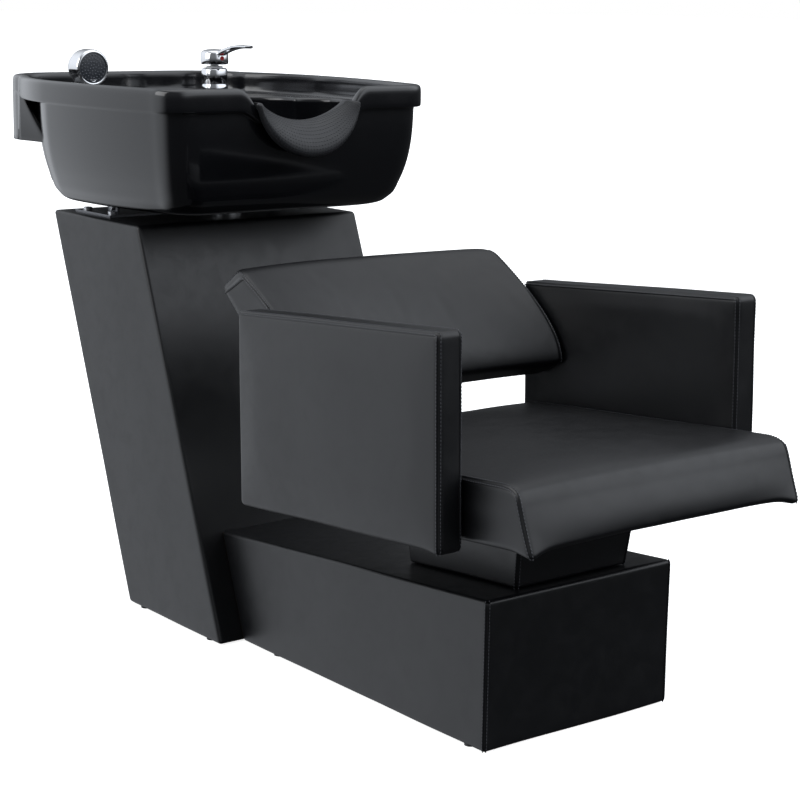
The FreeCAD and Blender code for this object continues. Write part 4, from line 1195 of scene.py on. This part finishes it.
class BACKWASH_OT_basin(bpy.types.Operator):
    """Mould the basin: body, band, rim, ledge, tap deck and bowl"""
    bl_idname = "backwash.basin"
    bl_label = "Basin"

    def execute(self, context):
        basin = context.scene.basin
        bottom, rim = low("bowl", 2), high("bowl", 2)
        deck = rim - basin.band
        drain = np.array((NODE["drain_flange"][0] + NODE["drain_flange"][1]) / 2)[:2]
        hole = 0.0246
        rings = []

        def ring(height, side, front, rear):
            outline = basin_ring(side, front, rear)
            rings.append(np.column_stack([outline, np.full(len(outline), height)]))

        def round_drain(height, radius, toward):
            """A ring round the drain, each place in line with its own place on the outline."""
            away = toward - drain
            away /= np.linalg.norm(away, axis=1, keepdims=True)
            rings.append(np.column_stack([drain + away * radius, np.full(len(away), height)]))

        first = basin_ring(*BASIN_BODY[0][1:])
        for radius in (hole, 0.040):
            round_drain(bottom, radius, first)
        ring(bottom, 0.130, 0.150, 0.190)
        for share in (0, 0.006, 0.015, 0.03, 0.055, 0.09, 0.13, 0.18, 0.25, 0.33, 0.42, 0.52, 0.62, 0.72,
                      0.81, 0.9, 0.97, 1.0):
            ring(bottom + share * (deck - bottom), *body_insets(share))
        overhang = BASIN_BODY[-1][3]
        for share in (0.6, 0.2):
            ring(deck, 0.003 + 0.005 * share, 0.003 + 0.005 * share, 0.003 + overhang * share)
        for lift, inset in BAND_AND_RIM:
            ring(deck + lift, inset, inset, inset)
        ring(deck, 0.018, 0.018, 0.018)
        inner = 0.008 + basin.wall
        basin_rear = BASIN_OUTLINE["rear"] - basin.deck_front
        for along in (0.10, 0.4, 0.80, 0.93):
            side = inner + basin.ledge * (0.36 + 0.5 * along)
            ring(deck, side, side, side + (basin_rear - side) * along)
        floor = bottom + basin.wall
        soft_from, softened = 0.98, 0.004
        for share in (1.0, 0.995, 0.98, 0.95, 0.9, 0.8, 0.68, 0.56, 0.45, 0.35, 0.26, 0.18, 0.12, 0.07,
                      0.03, 0.0):
            side, front, rear = body_insets(share) + basin.wall + basin.ledge * share
            soft = softened * max(0.0, (share - soft_from) / (1 - soft_from))
            ring(floor + share * (deck - floor), side - soft, front - soft, max(rear, basin_rear) - soft)
        ring(floor, 0.140, 0.160, 0.240)
        for radius in (0.045, hole + 0.0012):
            round_drain(floor, radius, first)
        round_drain(floor - 0.001, hole, first)
        rows = len(rings)
        count = len(rings[0])
        points = dip_notch(np.concatenate(rings), rim)
        faces = [[row * count + step, row * count + (step + 1) % count,
                  ((row + 1) % rows) * count + (step + 1) % count, ((row + 1) % rows) * count + step]
                 for row in range(rows) for step in range(count)]
        piece = new_object("basin", points, faces, "basin_plastic")
        face_outwards(piece)
        subdivide(piece)
        fit(piece, "bowl", "bowl_plastic", "bowl")
        self.skirt(context)
        return {"FINISHED"}

    def skirt(self, context):
        """The upright skirt round the rear, with a slanting facet at each end."""
        basin = context.scene.basin
        rim = high("bowl", 2)
        deck, hem = rim - basin.band, rim - basin.skirt_height
        outer, inner = basin_ring(0, 0, 0), basin_ring(basin.wall, basin.wall, basin.wall)
        slant, under_rim, up_behind_band = 0.024, 0.022, 0.010
        apex_y = basin.skirt_front - slant
        rearward = [n for n in range(len(outer)) if outer[n][1] > apex_y - 0.001]
        order = [n for n in rearward if outer[n][0] > 0] + [n for n in rearward if outer[n][0] <= 0]
        levels = 9
        top = deck + up_behind_band
        points, faces = [], []
        for n in order:
            back = min(1.0, max(0.0, (outer[n][1] - apex_y) / slant))
            lowest = hem + (rim - under_rim - hem) * (1 - back)
            for level in range(levels + 1):
                z = max(lowest, top + (hem - top) * level / levels)
                for outline in (outer, inner):
                    points.append((outline[n][0], outline[n][1], z))
        per = 2 * (levels + 1)
        for step in range(len(order) - 1):
            a, b = step * per, (step + 1) * per
            for level in range(levels):
                for skin in (0, 1):
                    faces.append([a + 2 * level + skin, b + 2 * level + skin,
                                  b + 2 * level + 2 + skin, a + 2 * level + 2 + skin])
            faces.append([a + per - 2, b + per - 2, b + per - 1, a + per - 1])
            faces.append([a, b, b + 1, a + 1])
        for step in (0, len(order) - 1):
            a = step * per
            faces += [[a + 2 * level, a + 2 * level + 1, a + 2 * level + 3, a + 2 * level + 2]
                      for level in range(levels)]
        piece = new_object("basin_skirt", points, faces, "basin_plastic")
        merge_by_place(piece)
        face_outwards(piece)
        fit(piece, "bowl", "bowl_plastic")
        for sign, side in ((-1, "left"), (1, "right")):
            self.gusset(context, sign, side, apex_y, hem)

    def gusset(self, context, sign, side, apex_y, hem):
        """A three-cornered gusset from the skirt's front edge to the basin's body."""
        outer = basin_ring(0, 0, 0)
        flank = outer[(outer[:, 0] > 0) & (outer[:, 1] > BASIN_OUTLINE["widest"] + 0.02)]
        flank = flank[np.argsort(flank[:, 1])]

        def on_outline(y):
            return float(np.interp(y, flank[:, 1], flank[:, 0]))

        corner_y = context.scene.basin.skirt_front
        toe_in, toe_forward = 0.024, 0.066
        apex = Vector((sign * on_outline(apex_y), apex_y, high("bowl", 2) - 0.021))
        corner = Vector((sign * on_outline(corner_y), corner_y, hem))
        toe = Vector((sign * (on_outline(corner_y) - toe_in), corner_y - toe_forward, hem - 0.002))
        steps, rows = 12, 12
        points, faces = [], []
        inward = Vector((-sign * 0.006, 0.002, 0))
        for thick in (0, 1):
            for row in range(rows + 1):
                t = row / rows
                left_edge = apex.lerp(corner, t)
                bow = 0.006 * math.sin(math.pi * t)
                right_edge = apex.lerp(toe, t) + Vector((sign * bow, -bow * 0.6, 0))
                for step in range(steps + 1):
                    s = step / steps
                    place = left_edge.lerp(right_edge, s)
                    roll = 0.0035 * max(0.0, (s - 0.8) / 0.2) ** 2 * t
                    place += Vector((-sign * roll, roll, 0))
                    points.append(place + inward * thick)
        per, skin = steps + 1, (steps + 1) * (rows + 1)
        for row in range(rows):
            for step in range(steps):
                start, after = row * per + step, (row + 1) * per + step
                quad = [start, start + 1, after + 1, after]
                faces += [quad, [n + skin for n in reversed(quad)]]
        around = ([(0, s) for s in range(per)] + [(r, steps) for r in range(1, rows + 1)]
                  + [(rows, s) for s in range(steps - 1, -1, -1)]
                  + [(r, 0) for r in range(rows - 1, 0, -1)])
        for (r0, s0), (r1, s1) in zip(around, around[1:] + around[:1]):
            a, b = r0 * per + s0, r1 * per + s1
            faces.append([a, b, b + skin, a + skin])
        piece = new_object("basin_gusset_" + side, points, faces, "basin_plastic")
        merge_by_place(piece)
        face_outwards(piece)
        fit(piece, "bowl", "bowl_plastic")


# ------------------------------------------------------------------ neck rest
# the rest's section: share of the way from its outer to its inner edge, and place in Y
REST_SECTION = ((0.00, 0.088), (0.00, 0.080), (0.035, 0.0735), (0.14, 0.0705), (0.32, 0.0720),
                (0.52, 0.0770), (0.72, 0.0845), (0.88, 0.0930), (0.975, 0.1020), (1.00, 0.1100),
                (0.975, 0.1220), (0.90, 0.1330), (0.865, 0.1330), (0.885, 0.1180), (0.88, 0.1040),
                (0.74, 0.0965), (0.40, 0.0960), (0.06, 0.0950))
REST_FACE = REST_SECTION[2:10]


def rest_place(angle, share, depth):
    """A place on the neck rest: angle round the neck, share from outer to inner edge, depth in Y."""
    lie, side = BASIN_OUTLINE["front"], abs(math.sin(angle))
    outer_radius, outer_centre = 0.0935, 0.8095
    outer = (outer_radius * math.sin(angle), outer_centre - outer_radius * math.cos(angle))
    inner_half, inner_radius, inner_centre = 0.083, 0.1362, 0.9072
    inner_x = inner_half * math.sin(angle)
    inner = (inner_x, inner_centre - math.sqrt(inner_radius ** 2 - inner_x ** 2))
    slim = 1 - 0.45 * side ** 3
    y = lie + (depth - lie) * (slim if depth < lie else 1 - 0.35 * side ** 2)
    return Vector((outer[0] + (inner[0] - outer[0]) * share, y, outer[1] + (inner[1] - outer[1]) * share))


class BACKWASH_OT_neck_rest(bpy.types.Operator):
    """Mould the rubber neck rest with its rows of grip dots"""
    bl_idname = "backwash.neck_rest"
    bl_label = "Neck rest"

    def execute(self, context):
        basin = context.scene.basin
        limit = math.radians(83)
        steps, turns = 56, len(REST_SECTION)
        points = [rest_place(-limit + 2 * limit * step / steps, share, depth)
                  for step in range(steps + 1) for share, depth in REST_SECTION]
        faces = [[step * turns + turn, step * turns + (turn + 1) % turns,
                  (step + 1) * turns + (turn + 1) % turns, (step + 1) * turns + turn]
                 for step in range(steps) for turn in range(turns)]
        faces += [list(range(turns))[::-1], [steps * turns + turn for turn in range(turns)]]
        piece = new_object("neck_cushion", points, faces, "neck_rubber")
        face_outwards(piece)
        subdivide(piece)
        fit(piece, "bowl", "neck_rubber", "neck_rest")
        surface = surface_of(piece)
        end_margin = 0.10
        places, lifts = [], []
        for column in range(basin.dot_columns):
            angle = (-limit + end_margin) + (2 * limit - 2 * end_margin) * column / (basin.dot_columns - 1)
            for row in range(basin.dot_rows):
                spot = row / (basin.dot_rows - 1) * (len(REST_FACE) - 1.001)
                part, t = int(spot), spot - int(spot)
                (share, depth), (next_share, next_depth) = REST_FACE[part], REST_FACE[part + 1]
                share += (next_share - share) * t
                depth += (next_depth - depth) * t
                place, normal, _, _ = surface.find_nearest(rest_place(angle, share, depth))
                places.append(place)
                lifts.append(normal)
        dots = grown("neck_dots", places, lifts, [], dot_tree(),
                     {"Length": basin.dot, "Radius": basin.dot, "Rise": 0.55 * basin.dot}, "neck_rubber")
        fit(dots, "bowl", "neck_rubber")
        return {"FINISHED"}


# ------------------------------------------------------------------ taps
POLE = 0.002  # radius of the small flat at the poles of a turned shape


def lathe(profile, centre, axis, steps=48):
    """Points and faces of a turned shape: profile is (radius, height) from one pole to the other."""
    turn = Vector((0, 0, 1)).rotation_difference(Vector(axis)).to_matrix()
    points, faces = [], []
    for radius, height in profile:
        for step in range(steps):
            angle = 2 * math.pi * step / steps
            points.append(Vector(centre) + turn @ Vector((radius * math.cos(angle),
                                                          radius * math.sin(angle), height)))
    for row in range(len(profile) - 1):
        for step in range(steps):
            after = (step + 1) % steps
            faces.append([row * steps + step, row * steps + after,
                          (row + 1) * steps + after, (row + 1) * steps + step])
    faces.append(list(range(steps))[::-1])
    faces.append([(len(profile) - 1) * steps + step for step in range(steps)])
    return points, faces


def turned_piece(name, shapes, material):
    """One piece from several turned or lofted shapes."""
    points, faces = [], []
    for more_points, more_faces in shapes:
        start = len(points)
        points += more_points
        faces += [[n + start for n in face] for face in more_faces]
    piece = new_object(name, points, faces, material)
    face_outwards(piece)
    piece.data.set_sharp_from_angle(angle=math.radians(38))
    return piece


class BACKWASH_OT_mixer(bpy.types.Operator):
    """Turn the mixer's body, cap and lever"""
    bl_idname = "backwash.mixer"
    bl_label = "Mixer"

    def execute(self, context):
        taps = context.scene.taps
        body_low, body_high = NODE["mixer_body"]
        x, y = (body_low[0] + body_high[0]) / 2, (body_low[1] + body_high[1]) / 2
        deck = high("mixer_gasket", 2)
        top = body_high[2]
        r = taps.body
        body = lathe([(POLE, deck), (r + 0.0005, deck), (r + 0.001, deck + 0.001),
                      (r + 0.0008, deck + 0.010), (r - 0.0005, deck + 0.0125),
                      (r - 0.0005, deck + 0.0145), (r, deck + 0.016),
                      (r + 0.0002, top - 0.004), (r - 0.0006, top - 0.0016), (r - 0.003, top), (POLE, top)],
                     (x, y, 0), (0, 0, 1))
        piece = turned_piece("mixer_barrel", [body], "chrome")
        fit(piece, "bowl", "chrome", "mixer_body")
        handle_low, handle_high = NODE["mixer_handle"]
        cap_low = handle_low[2]
        cap_high = cap_low + 0.025
        c = taps.cap
        cap = lathe([(POLE, cap_low), (c - 0.0025, cap_low), (c - 0.0005, cap_low + 0.0012),
                     (c, cap_low + 0.004), (c - 0.0004, cap_high - 0.007), (c - 0.0022, cap_high - 0.0035),
                     (c - 0.006, cap_high - 0.0012), (c - 0.012, cap_high), (POLE, cap_high + 0.0006)],
                    (x, y, 0), (0, 0, 1))
        tip_y, tip_z = handle_low[1], handle_high[2] - 0.003
        lever = self.lever(Vector((x, y - 0.008, cap_high - 0.011)), Vector((x, tip_y, tip_z)),
                           taps.lever_width)
        piece = turned_piece("mixer_lever", [cap, lever], "chrome")
        fit(piece, "mixer_handle", "chrome", "mixer_handle")
        return {"FINISHED"}

    @staticmethod
    def lever(root, tip, width):
        """A flat tapering bar with a rounded end, rising from the cap."""
        steps, turns = 18, 12
        root_half, root_thick, tip_thick, arch, round_from = 0.0095, 0.0048, 0.0026, 0.006, 0.93
        points, faces = [], []
        along = tip - root
        for step in range(steps + 1):
            t = step / steps
            centre = root + along * t + Vector((0, 0, arch * math.sin(math.pi * t)))
            half = root_half + (width / 2 - root_half) * t
            thick = root_thick * (1 - t) + tip_thick * t
            if t > round_from:
                half *= math.sqrt(max(0.02, 1 - ((t - round_from) / (1 - round_from)) ** 2))
            for turn in range(turns):
                angle = 2 * math.pi * turn / turns
                cos, sin = math.cos(angle), math.sin(angle)
                flat = math.copysign(abs(cos) ** 0.6, cos), math.copysign(abs(sin) ** 0.8, sin)
                points.append(centre + Vector((half * flat[0], 0, thick * flat[1])))
        for step in range(steps):
            for turn in range(turns):
                after = (turn + 1) % turns
                faces.append([step * turns + turn, step * turns + after,
                              (step + 1) * turns + after, (step + 1) * turns + turn])
        faces += [list(range(turns)), [steps * turns + turn for turn in range(turns)][::-1]]
        return points, faces


class BACKWASH_OT_hand_shower(bpy.types.Operator):
    """Turn the hand shower's head and handle and set its spray nozzles"""
    bl_idname = "backwash.hand_shower"
    bl_label = "Hand shower"

    def execute(self, context):
        taps = context.scene.taps
        face_low, face_high = NODE["spray_face"]
        x, z = (face_low[0] + face_high[0]) / 2, (face_low[2] + face_high[2]) / 2
        front = low("handset", 1)
        depth = 0.042
        r = taps.drum
        drum = lathe([(POLE, 0), (r * 0.55, 0.0006), (r * 0.84, 0.0022), (r - 0.003, 0.0065),
                      (r - 0.0008, 0.011), (r, 0.016), (r, depth - 0.006), (r - 0.0006, depth - 0.003),
                      (r - 0.0022, depth - 0.0006), (r - 0.004, depth), (r - 0.0052, depth - 0.0008),
                      (r - 0.0056, depth - 0.003), (POLE, depth - 0.003)],
                     (x, front + depth, z), (0, -1, 0))
        lean = taps.lean
        down = Vector((0, math.sin(lean), -math.cos(lean)))
        tail_low = low("handset", 2)
        top = Vector((x, front + 0.0105, z - 0.012))
        reach = (top.z - tail_low) / math.cos(lean) - 0.008
        h = taps.handle
        handle = lathe([(POLE, 0), (h * 1.05, 0.0), (h * 1.02, 0.02), (h * 0.94, 0.04), (h * 0.96, 0.07),
                        (h * 0.98, reach - 0.022), (h * 0.94, reach - 0.016), (h * 0.72, reach - 0.0155),
                        (h * 0.72, reach - 0.0010), (POLE, reach)], top, down)
        piece = turned_piece("hand_shower", [drum, handle], "chrome")
        fit(piece, "handset", "chrome", "handset")
        plate_r = r - 0.0052
        disc = lathe([(POLE, -0.002), (plate_r, -0.002), (plate_r, 0.0006), (plate_r - 0.0012, 0.0012),
                      (0.008, 0.0016), (POLE, 0.0017)], (x, front + 0.0030, z), (0, -1, 0))
        spray = turned_piece("spray_plate", [disc], "spray_plastic")
        fit(spray, "handset", "spray_plastic", "spray_face")
        places, lifts = [], []
        ring_gap, ring_turn = 0.0052, 0.2
        for ring, count in enumerate((1, 6, 12, 18, 24)):
            for step in range(count):
                angle = 2 * math.pi * step / count + ring_turn * ring
                reach_out = ring_gap * ring
                places.append(Vector((x + reach_out * math.cos(angle), front + 0.0014,
                                      z + reach_out * math.sin(angle))))
                lifts.append(Vector((0, -1, 0)))
        nozzles = grown("spray_nozzles", places, lifts, [], dot_tree(),
                        {"Length": taps.nozzle, "Radius": taps.nozzle, "Rise": 1.3 * taps.nozzle},
                        "nozzle_rubber")
        fit(nozzles, "handset", "spray_plastic")
        return {"FINISHED"}


# ------------------------------------------------------------------ carried-over pieces
NODE_FINISH = {
    "plywood": ("column_side_left", "column_side_right", "column_front_board", "column_lower_rail",
                "column_upper_rail", "column_top_board", "plinth_side_left", "plinth_side_right",
                "plinth_front_board", "plinth_top_board", "plinth_floor_board", "seat_board",
                "arm_core_left", "arm_core_right"),
    "panel_board": ("service_panel",),
    "glide_plastic": ("floor_glides",),
    "zinc_steel": ("arm_bolts", "base_plate_bolts", "cradle_screws", "pivot_bolts",
                   "pivot_nuts", "service_screws", "mixer_nut"),
    "brushed_steel": ("tilt_base_plate", "bowl_cradle"),
    "gasket_rubber": ("drain_gasket", "mixer_gasket"),
    "chrome": ("drain_flange", "hair_strainer"),
    "white_plastic": ("drain_nut", "drain_tailpiece", "cartridge_stem"),
    "holder_plastic": ("shower_holder",),
    "red_mark": ("temperature_mark",),
}


class BACKWASH_OT_fittings(bpy.types.Operator):
    """Finish the boards, plates, screws and drain parts that stay as they are"""
    bl_idname = "backwash.fittings"
    bl_label = "Fittings"

    def execute(self, context):
        for finish, names in NODE_FINISH.items():
            for name in names:
                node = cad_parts[name]
                node.data.materials.clear()
                node.data.materials.append(material_of(finish))
        return {"FINISHED"}


# ------------------------------------------------------------------ studio
class BACKWASH_OT_studio(bpy.types.Operator):
    """Set the pale floor, the soft lights and the camera"""
    bl_idname = "backwash.studio"
    bl_label = "Studio"

    def execute(self, context):
        finishes = context.scene.finishes
        self.floor()
        self.surroundings(finishes.fill)
        centre = Vector((0, 0, 0.45))
        self.soft_light("key", Vector((-3.2, 0.6, 2.3)), centre, 2.6, finishes.key)
        self.soft_light("top", Vector((0.3, 0.4, 3.6)), centre, 2.8, 0.35 * finishes.key)
        self.camera()
        context.scene.view_settings.view_transform = "Standard"
        return {"FINISHED"}

    @staticmethod
    def floor():
        """A wide pale floor that meets the backdrop without an edge."""
        reach = 60.0
        floor = new_object("studio_floor", [(-reach, -reach, 0), (reach, -reach, 0), (reach, reach, 0),
                                            (-reach, reach, 0)], [[0, 1, 2, 3]], None)
        material, tree, shader = blank_material("studio_floor")
        marks = use_effect(tree, "marks", (-900, 200), Scale=0.4)
        toned(tree, shader, marks.outputs["Broad"], (0.90, 0.90, 0.90), (0.93, 0.93, 0.93), (-300, 300))
        shader.inputs["Roughness"].default_value = 0.9
        shader.inputs["Emission Color"].default_value = (1, 1, 1, 1)
        shader.inputs["Emission Strength"].default_value = 0.86
        floor.data.materials.append(material)
        floor.visible_glossy = False
        floor.visible_diffuse = False

    @staticmethod
    def surroundings(fill):
        """A white backdrop to the eye; to reflections bright at the left and dark at the right front."""
        world = bpy.data.worlds.new("studio")
        bpy.context.scene.world = world
        world.use_nodes = True
        tree = world.node_tree
        tree.nodes.clear()
        out = node_in(tree, "ShaderNodeOutputWorld", (800, 0))
        seen = node_in(tree, "ShaderNodeBackground", (300, 150), Color=(1, 1, 1, 1), Strength=1.0)
        mirrored = node_in(tree, "ShaderNodeBackground", (300, -100), Color=(0.90, 0.94, 1.0, 1))
        where = node_in(tree, "ShaderNodeTexCoord", (-1300, -100))
        height = node_in(tree, "ShaderNodeSeparateXYZ", (-1100, -500))
        wire(tree, where.outputs["Generated"], height.inputs[0])

        def eased(value, low_end, high_end, least, most, place):
            """A value that passes smoothly from least to most."""
            spread = node_in(tree, "ShaderNodeMapRange", place, interpolation_type="SMOOTHSTEP")
            for label, given in (("From Min", low_end), ("From Max", high_end), ("To Min", least),
                                 ("To Max", most)):
                spread.inputs[label].default_value = given
            wire(tree, value, spread.inputs["Value"])
            return spread.outputs["Result"]

        def patch(direction, low_end, high_end, strength, place):
            """A soft bright patch round a direction."""
            across = node_in(tree, "ShaderNodeVectorMath", place, operation="DOT_PRODUCT")
            across.inputs[1].default_value = Vector(direction).normalized()
            wire(tree, where.outputs["Generated"], across.inputs[0])
            return eased(across.outputs["Value"], low_end, high_end, 0.0, strength,
                         (place[0] + 200, place[1]))

        def together(operation, first, second, place):
            """A sum or product of two values."""
            node = node_in(tree, "ShaderNodeMath", place, operation=operation)
            wire(tree, first, node.inputs[0])
            wire(tree, second, node.inputs[1])
            return node.outputs[0]

        left = patch((-0.62, 0.76, 0.05), 0.30, 0.85, 0.95, (-1100, 200))
        front = patch((0.62, -0.75, 0.30), 0.45, 0.90, 1.1, (-1100, 0))
        above = patch((0.35, -0.20, 0.92), 0.40, 0.92, 0.62, (-1100, -200))
        risen = eased(height.outputs["Z"], -0.02, 0.16, 0.0, 1.0, (-900, -500))
        air = eased(height.outputs["Z"], -0.15, 0.25, 0.04, 0.20, (-900, -700))
        front = together("MULTIPLY", front, risen, (-500, 0))
        total = together("ADD", together("ADD", left, front, (-300, 100)),
                         together("ADD", above, air, (-300, -300)), (-100, -100))
        scaled = node_in(tree, "ShaderNodeMath", (60, -100), operation="MULTIPLY")
        wire(tree, total, scaled.inputs[0])
        scaled.inputs[1].default_value = fill
        wire(tree, scaled.outputs[0], mirrored.inputs["Strength"])
        path = node_in(tree, "ShaderNodeLightPath", (0, 300))
        pick = node_in(tree, "ShaderNodeMixShader", (550, 0))
        wire(tree, path.outputs["Is Camera Ray"], pick.inputs["Fac"])
        wire(tree, mirrored.outputs[0], pick.inputs[1])
        wire(tree, seen.outputs[0], pick.inputs[2])
        wire(tree, pick.outputs[0], out.inputs["Surface"])

    @staticmethod
    def soft_light(name, place, target, size, power):
        """A square soft light that faces a target."""
        data = bpy.data.lights.new(name, "AREA")
        data.shape = "RECTANGLE"
        data.size, data.size_y = size, size
        data.energy = power
        lamp = bpy.data.objects.new(name, data)
        lamp.location = place
        lamp.rotation_mode = "QUATERNION"
        lamp.rotation_quaternion = (target - place).to_track_quat("-Z", "Y")
        bpy.context.scene.collection.objects.link(lamp)

    @staticmethod
    def camera():
        """A long lens at the unit's left front, a little above the basin."""
        data = bpy.data.cameras.new("camera")
        data.lens, data.sensor_width = 89.1, 36.0
        data.clip_end = 200
        camera = bpy.data.objects.new("camera", data)
        place = (-1.7465, -2.3579, 0.9659)
        azimuth, elevation, roll = (math.radians(angle) for angle in (-38.24, 11.71, 0.90))
        back = Vector((math.sin(azimuth) * math.cos(elevation), -math.cos(azimuth) * math.cos(elevation),
                       math.sin(elevation)))
        right = (-back).cross(Vector((0, 0, 1))).normalized()
        up = right.cross(-back)
        across = right * math.cos(roll) + up * math.sin(roll)
        upright = up * math.cos(roll) - right * math.sin(roll)
        turn = Matrix((across, upright, back)).transposed()
        camera.matrix_world = Matrix.Translation(place) @ turn.to_4x4()
        bpy.context.scene.collection.objects.link(camera)
        bpy.context.scene.camera = camera


# ------------------------------------------------------------------ the add-on
OPERATORS = (BACKWASH_OT_column, BACKWASH_OT_plinth, BACKWASH_OT_pedestal, BACKWASH_OT_arms,
             BACKWASH_OT_seat, BACKWASH_OT_backrest, BACKWASH_OT_stitches, BACKWASH_OT_basin,
             BACKWASH_OT_neck_rest, BACKWASH_OT_mixer, BACKWASH_OT_hand_shower, BACKWASH_OT_fittings,
             BACKWASH_OT_studio)


class BACKWASH_PT_build(bpy.types.Panel):
    """The unit's sizes and the steps that build it"""
    bl_idname = "BACKWASH_PT_build"
    bl_label = "Backwash unit"
    bl_space_type = "VIEW_3D"
    bl_region_type = "UI"
    bl_category = "Backwash unit"

    def draw(self, context):
        column = self.layout.column(align=True)
        for operator in OPERATORS:
            column.operator(operator.bl_idname)
        for name, group in GROUPS.items():
            box = self.layout.box()
            box.label(text=name.capitalize())
            for field in group.__annotations__:
                box.prop(getattr(context.scene, name), field)


def register():
    for kind in (*GROUPS.values(), *OPERATORS, BACKWASH_PT_build):
        bpy.utils.register_class(kind)
    for name, group in GROUPS.items():
        setattr(bpy.types.Scene, name, PointerProperty(type=group))


def unregister():
    for name in GROUPS:
        delattr(bpy.types.Scene, name)
    for kind in (BACKWASH_PT_build, *reversed(OPERATORS), *reversed(GROUPS.values())):
        bpy.utils.unregister_class(kind)


def main():
    register()
    for operator in OPERATORS:
        step = operator.bl_idname.split(".")[1]
        if getattr(bpy.ops.backwash, step)() != {"FINISHED"}:
            raise RuntimeError(step + " did not finish")


if __name__ == "__main__":
    main()
